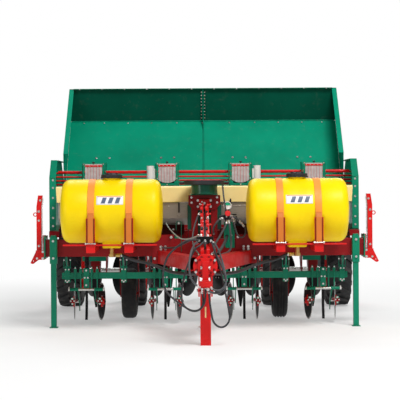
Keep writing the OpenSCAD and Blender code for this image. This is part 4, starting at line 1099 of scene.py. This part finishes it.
its = []
for c, dx in ((-1125, 0), (-375, -25), (375, 25), (1125, 0)):
    for q in (-73, 73):
        its.append((on_floor(c + dx + q, 1644), tuple(HN), 9.5, 8))
for x in (-1360, -1130, -860, -590, -300, -6, 300, 590, 860, 1130, 1360):
    its.append((on_floor(x, 2052), tuple(HN), 6.5, 5))
hb = studs("hopper_floor_bolts", its, ZINC)
its = []
for i in range(9):
    z = 2110 + 36 * i
    y = 2520 - (z - 2076) * 94.0 / 364.0
    its.append(((-18, y - 7.0, z), (0, -0.968, -0.25), 5.0, 4.0))
    its.append(((18, y - 7.0, z), (0, -0.968, -0.25), 5.0, 4.0))
for i in range(12):
    x = -1400 + 2800 * i / 11
    its.append(((x, 2377.6, 2432.5), (0, -1, 0), 5.5, 4.5))
hb2 = studs("hopper_back_bolts", its, ZINC)
seam = []
for x in (-5.0, 7.0):
    a, b = on_floor(x, 1190, 0.3), on_floor(x, 2060, 0.3)
    seam.append((a, b))
vs, fs = [], []
for a, b in seam:
    k = len(vs)
    for p in (a, b):
        for dx in (-1.3, 1.3):
            vs.append(D(p[0] + dx, p[1], p[2]))
    fs.append((k, k + 1, k + 3, k + 2))
sm = mesh_obj("hopper_seams", vs, fs, paint("seam_dark", (0.0, 0.05, 0.03), 0.6, 0.0))
wl = tube("hopper_corner_weld", [(x, 2512, 2078) for x in range(-1500, 1501, 250)], 9, HOPGREEN, res=4, smooth=False)
for q in (hb, hb2, sm, wl):
    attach(q, "hopper")

# side posts: bolts up the front flanges
its = [(sx * 1503, 699.6, z, 8, 7, -1) for sx in (-1, 1) for z in (930, 1010, 1110, 1210, 1310, 1385)]
sb = hexbolts("side_post_bolts", its, ZINC, "Y")
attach(sb, "frame")
its = [(sx * 1540.2, y, z, 10, 8, sx) for sx in (-1, 1) for y, z in ((780, 760), (780, 860), (1000, 760), (1300, 870), (1600, 870), (1868, 1380), (1868, 1200), (1780, 1290), (1950, 1290), (2060, 870))]
sb2 = hexbolts("side_panel_bolts", its, ZINC, "X")
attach(sb2, "frame")

# a guard plate between the fertiliser boxes, with its drive cover: near-black sheets in its slots as painted shade, and
# its bolts
gvs = boxes("centre_guard_slot_shade", [((-46 + 34 * i, 117.2, 900), (-24 + 34 * i, 117.8, 1040)) for i in range(3)], HOLE_SHADE, 0.001)
gb = hexbolts("centre_guard_bolts", [(x, 149.8, z, 7, 6, -1) for x in (-94, 94) for z in (890, 1000, 1110, 1205)], ZINC, "Y")
for q in (gvs, gb):
    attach(q, "frame")

# motors beside the cup belts: ribbed bodies
for sx in (-1, 1):
    prof = [(0.0, 0.0), (0.030, 0.0), (0.036, 0.006)]
    for i in range(9):
        z = 0.014 + 0.013 * i
        prof += [(0.0375, z), (0.0375, z + 0.006), (0.034, z + 0.0075), (0.034, z + 0.0115)]
    prof += [(0.0365, 0.131), (0.030, 0.137), (0.0, 0.138)]
    o = revolve("belt_motor_ribs_%s" % ("l" if sx < 0 else "r"), prof, D(sx * 545, 1060, 1392), "Z", 48, WHITEP, False)
    autosmooth(o, 30)
    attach(o, "frame")

# marker arms: springs on the brackets, stored chains, bolts
for side, sx in (("left", -1), ("right", 1)):
    hx = []
    for i in range(20 * 14 + 1):
        a = 2 * math.pi * i / 20
        hx.append((sx * 1524 + 10.5 * math.cos(a), 84 + 10.5 * math.sin(a), 724 + 122.0 * i / 280))
    sp = tube("marker_spring_" + side, hx, 4.6, ZINC, res=3, smooth=False)
    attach(sp, "frame")
    vs, fs = [], []
    nl = 30
    for i in range(nl):
        z = 1205 - 330.0 * i / (nl - 1)
        x = sx * (1518 + (12.0 if z < 1130 else 12.0 * (1236 - z) / 106.0))
        k0 = len(vs)
        for u in range(12):
            a = 2 * math.pi * u / 12
            la, lb_ = 7.8 * math.cos(a), 4.2 * math.sin(a)
            for w in range(6):
                b = 2 * math.pi * w / 6
                rr = 1.45
                ca, cb = math.cos(a), math.sin(a)
                off_l, off_s = la + rr * math.cos(b) * ca, lb_ + rr * math.cos(b) * cb
                up = rr * math.sin(b)
                if i % 2:
                    vs.append(D(x + off_s, 84 + up, z + off_l))
                else:
                    vs.append(D(x + up, 84 + off_s, z + off_l))
        for u in range(12):
            for w in range(6):
                fs.append((k0 + u * 6 + w, k0 + ((u + 1) % 12) * 6 + w, k0 + ((u + 1) % 12) * 6 + (w + 1) % 6, k0 + u * 6 + (w + 1) % 6))
    ch = mesh_obj("marker_chain_" + side, vs, fs, ZINC, True)
    fix_normals(ch)
    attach(ch, "marker_arm_" + side)
    mb = hexbolts("marker_bolts_" + side, [(sx * 1560, 61.8, 1085, 9, 8, -1), (sx * 1560, 61.8, 1000, 8, 7, -1), (sx * 1560, 61.8, 760, 8, 7, -1), (sx * 1546, 61.8, 1190, 8, 7, -1), (sx * 1554, 49.6, 690, 9, 8, -1)], ZINC, "Y")
    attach(mb, "marker_arm_" + side)
    bb = hexbolts("marker_bracket_bolts_" + side, [(sx * 1518, 19.8, 645, 9, 8, -1), (sx * 1518, 19.8, 708, 9, 8, -1), (sx * 1573, 19.8, 645, 8, 7, -1)], ZINC, "Y")
    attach(bb, "frame")

# ------------------------------------------------------------------ coulter discs, their brackets and the bar's clamps
TOE = math.radians(8.0)
rows_x = (-1125, -375, 375, 1125)


def place(o, centre, angle, flip=1):
    """Turns a piece built at the origin about Z, flips it in X where asked, and puts it at a design point."""
    m = Matrix.Translation(centre) @ Matrix.Rotation(angle, 4, "Z") @ Matrix.Diagonal((flip, 1, 1, 1))
    o.data.transform(m)
    if flip < 0:
        o.data.flip_normals()
    return o


def local(centre, angle, p):
    v = Matrix.Rotation(angle, 3, "Z") @ Vector(p)
    return (centre[0] + v.x, centre[1] + v.y, centre[2] + v.z)


for i in range(8):
    c, s = rows_x[i // 2], (-1 if i % 2 == 0 else 1)
    ctr = (c + s * 130, 330, 210)
    rg = revolve("disc_edge_%d" % (i + 1), [(0.1652, 0.0027), (0.1795, 0.0004), (0.1795, -0.0004), (0.1652, -0.0027)], (0, 0, 0), "X", 96, EDGE)
    place(rg, D(*ctr), -s * TOE)
    d = tuple(Matrix.Rotation(-s * TOE, 3, "Z") @ Vector((s, 0, 0)))
    bl = studs("disc_bolts_%d" % (i + 1), [(local(ctr, -s * TOE, (s * 14.2, 41 * math.cos(a), 41 * math.sin(a))), d, 5.2, 5.5) for a in [k * 2 * math.pi / 5 + 0.3 for k in range(5)]] +
               [(local(ctr, -s * TOE, (s * 32, 0, 0)), d, 11, 8)], BLKSTEEL)
    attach(rg, "coulter_disc_%d" % (i + 1))
    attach(bl, "coulter_disc_%d" % (i + 1))

bx_r, bx_g, bx_g2, zb = [], [], [], []
for c in rows_x:
    for s in (-1, 1):
        e = c + s * 130
        bx_r += [((e - 24, 130, 219), (e + 24, 137, 247)), ((min(c + s * 92, c + s * 104), 137, 222), (max(c + s * 92, c + s * 104), 262, 244))]
        bx_g += [((e - 16, 124, 246), (e + 16, 130, 264)), ((e - 12, 124, 200), (e + 12, 130, 214))]
        zb += [((e, 123.8, 256), (0, -1, 0), 7, 6), ((e, 123.8, 206), (0, -1, 0), 6, 5), ((e - 16, 129.8, 233), (0, -1, 0), 5, 4), ((e + 16, 129.8, 233), (0, -1, 0), 5, 4)]
        for dx in (52, 104):
            x = c + s * dx
            bx_g2 += [((x - 5, 148, 352), (x + 5, 157.6, 560)), ((x - 14, 157.8, 486), (x + 14, 169.5, 536))]
            zb += [((x, 147.6, 545), (0, -1, 0), 5, 4)]
        zb += [((c + s * 15, 157.6, z), (0, -1, 0), 6.5, 6) for z in (452,)]
        zb += [((c + s * 164, 163, 357), (0, 0, 1), 5, 8)]
for x in (-196, 196, -770, 770, -1306, 1306):
    bx_g2 += [((x - 34, 158, 540), (x - 27, 163.6, 640)), ((x + 27, 158, 540), (x + 34, 163.6, 640))]
    zb += [((x - 30, 157.6, 620), (0, -1, 0), 6, 5), ((x + 30, 157.6, 620), (0, -1, 0), 6, 5), ((x, 163.6, 412), (0, -1, 0), 6.5, 6)]
a1 = boxes("disc_brackets", bx_r, DKRED, 0.0015)
a2 = boxes("disc_bracket_clips", bx_g, GREEN, 0.001)
a3 = boxes("coulter_hangers", bx_g2, GREEN, 0.001)
a4 = studs("coulter_bolts", zb, ZINC)
sp = []
for k, c in enumerate(rows_x):      # compression springs round the black rods
    hx = []
    for i in range(16 * 11 + 1):
        a = 2 * math.pi * i / 16
        hx.append((c + 21.5 * math.cos(a), 215 + 21.5 * math.sin(a), 560 + 135.0 * i / 176))
    q = tube("coulter_spring_%d" % k, hx, 6.5, BLKSTEEL, res=3, smooth=False)
    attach(q, "frame")
for q in (a1, a2, a3, a4):
    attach(q, "frame")

# green frames round the strip curtains
fr = []
for c in rows_x:
    fr += [((c - 108, 1002, 1344), (c - 91, 1007, 1568)), ((c + 91, 1002, 1344), (c + 108, 1007, 1568)), ((c - 108, 1002, 1330), (c + 108, 1007, 1345)),
           ((c - 91, 1002, 1345), (c - 80, 1007, 1362)), ((c + 80, 1002, 1345), (c + 91, 1007, 1362)), ((c - 108, 1007, 1340), (c - 104, 1029, 1566)), ((c + 104, 1007, 1340), (c + 108, 1029, 1566))]
fo = boxes("curtain_frames", fr, GREEN, 0.002)
fb = studs("curtain_frame_bolts", [((c + dx, 1001.8, z), (0, -1, 0), 5.5, 5) for c in rows_x for dx, z in ((-99, 1550), (99, 1550), (0, 1337), (-99, 1400), (99, 1400))], ZINC)
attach(fo, "frame")
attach(fb, "frame")

# fertiliser boxes: ribs, rivets and outlets
rb, rv, ol = [], [], []
for sx in (-1, 1):
    for x in (440, 760, 1080):
        rb.append(((sx * x - 9, 196.5, 952), (sx * x + 9, 200, 1150)))
    rb.append(((min(sx * 134, sx * 1386), 195.5, 1120), (max(sx * 134, sx * 1386), 200, 1134)))
    for i in range(14):
        rv.append(((sx * (150 + 94 * i), 195.2, 1127), (0, -1, 0), 4.5, 4))
    for x in (300, 450, 1050, 1200):
        ol.append(((sx * x, 352, 850), (sx * x, 352, 812), [(20, 0), (20, 0.4), (14, 0.5), (14, 1)]))
        rv.append(((sx * x, 329.6, 900), (0, -1, 0), 7, 6))
o1 = boxes("box_ribs", rb, STEEL, 0.001)
o2 = studs("box_rivets", rv, ZINC)
o3 = rod("metering_outlets", ol, BLACKP, 20)
for q in (o1, o2, o3):
    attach(q, "frame")
for side, sx in (("left", -1), ("right", 1)):
    hd = tube("lid_handle_" + side, [(sx * 700, 168, 1240), (sx * 700, 148, 1242), (sx * 712, 140, 1242), (sx * 820, 140, 1242), (sx * 832, 148, 1242), (sx * 832, 168, 1240)], 10, BLACKP, res=4, smooth=False)
    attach(hd, "fertilizer_lid_" + side)
    cp = revolve("cap_top_" + side, [(0.0, 0.0), (0.0, 0.010), (0.030, 0.010), (0.036, 0.006), (0.058, 0.006), (0.060, 0.0)], (D(sx * 845, 0, 0).x, D(0, -276, 0).y, 1.424), "Z", 64, BLACKP, False)
    autosmooth(cp, 30)
    gr = boxes("cap_grip_" + side, [((sx * 845 - 56, -281, 1424), (sx * 845 + 56, -271, 1438)), ((sx * 845 - 5, -332, 1424), (sx * 845 + 5, -220, 1438))], BLACKP, 0.002)
    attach(cp, "tank_cap_" + side)
    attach(gr, "tank_cap_" + side)

# drawbar head: flange bolts, link pins, lower loops of hose
db = [(78 * math.cos(a), -1440.3, 652 + 78 * math.sin(a), 8.5, 8, -1) for a in [math.pi / 8 + k * math.pi / 4 for k in range(8)]] + [(x, -1452.3, z, 8, 8, -1) for x in (-46, 46) for z in (600, 704)]
h1 = hexbolts("flange_bolts", db, DKRED, "Y")
h2 = rod("neck_pins", [((-34, -1476, 640), (34, -1476, 640), [(9, 0), (9, 1)]), ((-40, -1476, 640), (-30, -1476, 640), [(15, 0), (15, 1)]), ((30, -1476, 640), (40, -1476, 640), [(15, 0), (15, 1)]),
                       ((-64, -1390, 450), (-72, -1390, 450), [(16, 0), (16, 0.6), (11, 1)]), ((64, -1390, 450), (72, -1390, 450), [(16, 0), (16, 0.6), (11, 1)])], ZINC, 20)
h3 = boxes("stand_slot", [((-5.5, -1411, 228), (5.5, -1409, 316))], CREAM, 0.0005)
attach(h1, "frame")
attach(h2, "frame")
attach(h3, "parking_stand")
loops = [
    ("head_loop", GREYH, 17, [(-64, -1200, 832), (-76, -1232, 838), (-98, -1300, 806), (-122, -1380, 740), (-132, -1452, 655), (-120, -1476, 565), (-84, -1488, 508), (-50, -1484, 488)]),
    ("head_drop_a", GREYH, 15, [(66, -1200, 836), (78, -1232, 832), (112, -1300, 770), (150, -1400, 650), (170, -1450, 540), (168, -1476, 460), (140, -1488, 404), (98, -1490, 396), (60, -1488, 424), (44, -1484, 484)]),
    ("head_drop_b", GREYH, 18, [(84, -1060, 730), (90, -1090, 726), (112, -1180, 700), (146, -1300, 620), (172, -1390, 520), (180, -1440, 420), (164, -1472, 338), (124, -1484, 294), (74, -1486, 296), (34, -1486, 340), (16, -1488, 410), (14, -1490, 476)]),
]
for nm, m, d, pts in loops:
    dense = ease(crom(pts, 4), 4.15 * d)
    o = tube("hose_" + nm, dense, d, m, res=6)
    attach(o, "frame")
    fa, fb_ = Vector(dense[0]), Vector(dense[3])
    fc, fd = Vector(dense[-1]), Vector(dense[-3])
    u0, u1 = (fb_ - fa).normalized(), (fd - fc).normalized()
    r = d / 2.0
    f = rod("ferrule_" + nm, [(fa - u0 * 1, fa + u0 * 22, [(r + 0.8, 0), (r + 2.2, 0.1), (r + 2.2, 0.4), (r + 1.2, 0.46), (r + 2.2, 0.52), (r + 2.2, 0.9), (r + 0.6, 1)]),
                              (fc - u1 * 1, fc + u1 * 22, [(r + 0.8, 0), (r + 2.2, 0.1), (r + 2.2, 0.4), (r + 1.2, 0.46), (r + 2.2, 0.52), (r + 2.2, 0.9), (r + 0.6, 1)])], ZINC, 18)
    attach(f, "frame")

# ridging discs and the rear
RD = (160, 590, 910, 1340)
RA = (26, -26, 26, -26)
its = []
for sx in (-1, 1):
    for i in range(4):
        ang = math.radians(RA[i]) * sx
        side = -sx if i % 2 == 0 else sx
        ctr = (sx * RD[i], 2800, 315)
        d = tuple(Matrix.Rotation(ang, 3, "Z") @ Vector((side, 0, 0)))
        for k in range(6):
            a = k * math.pi / 3
            its.append((local(ctr, ang, (side * 2.2, 62 * math.cos(a), 62 * math.sin(a))), d, 7, 7))
rbz = studs("ridging_disc_bolts", its, ZINC)
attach(rbz, "ridging_gang")
its = [((sx * x, 2639.6, z), (0, -1, 0), 9, 8) for sx in (-1, 1) for x in (520, 600, 1000, 1400) for z in (636, 676)] + [((sx * x, 2710.4, z), (0, 1, 0), 9, 8) for sx in (-1, 1) for x in (110, 640, 860, 1390) for z in (636, 676)]
rb2 = studs("ridging_beam_bolts", its, ZINC)
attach(rb2, "ridging_gang")
pt = rod("cylinder_ports", [((sx * 1120 + 27, 2255 + dy, 640 + dz), (sx * 1120 + 52, 2255 + dy, 640 + dz), [(9, 0), (9, 0.4), (12, 0.45), (12, 1)]) for sx in (-1, 1) for dy, dz in ((4, 40),)], ZINC, 16)
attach(pt, "hopper_barrels")
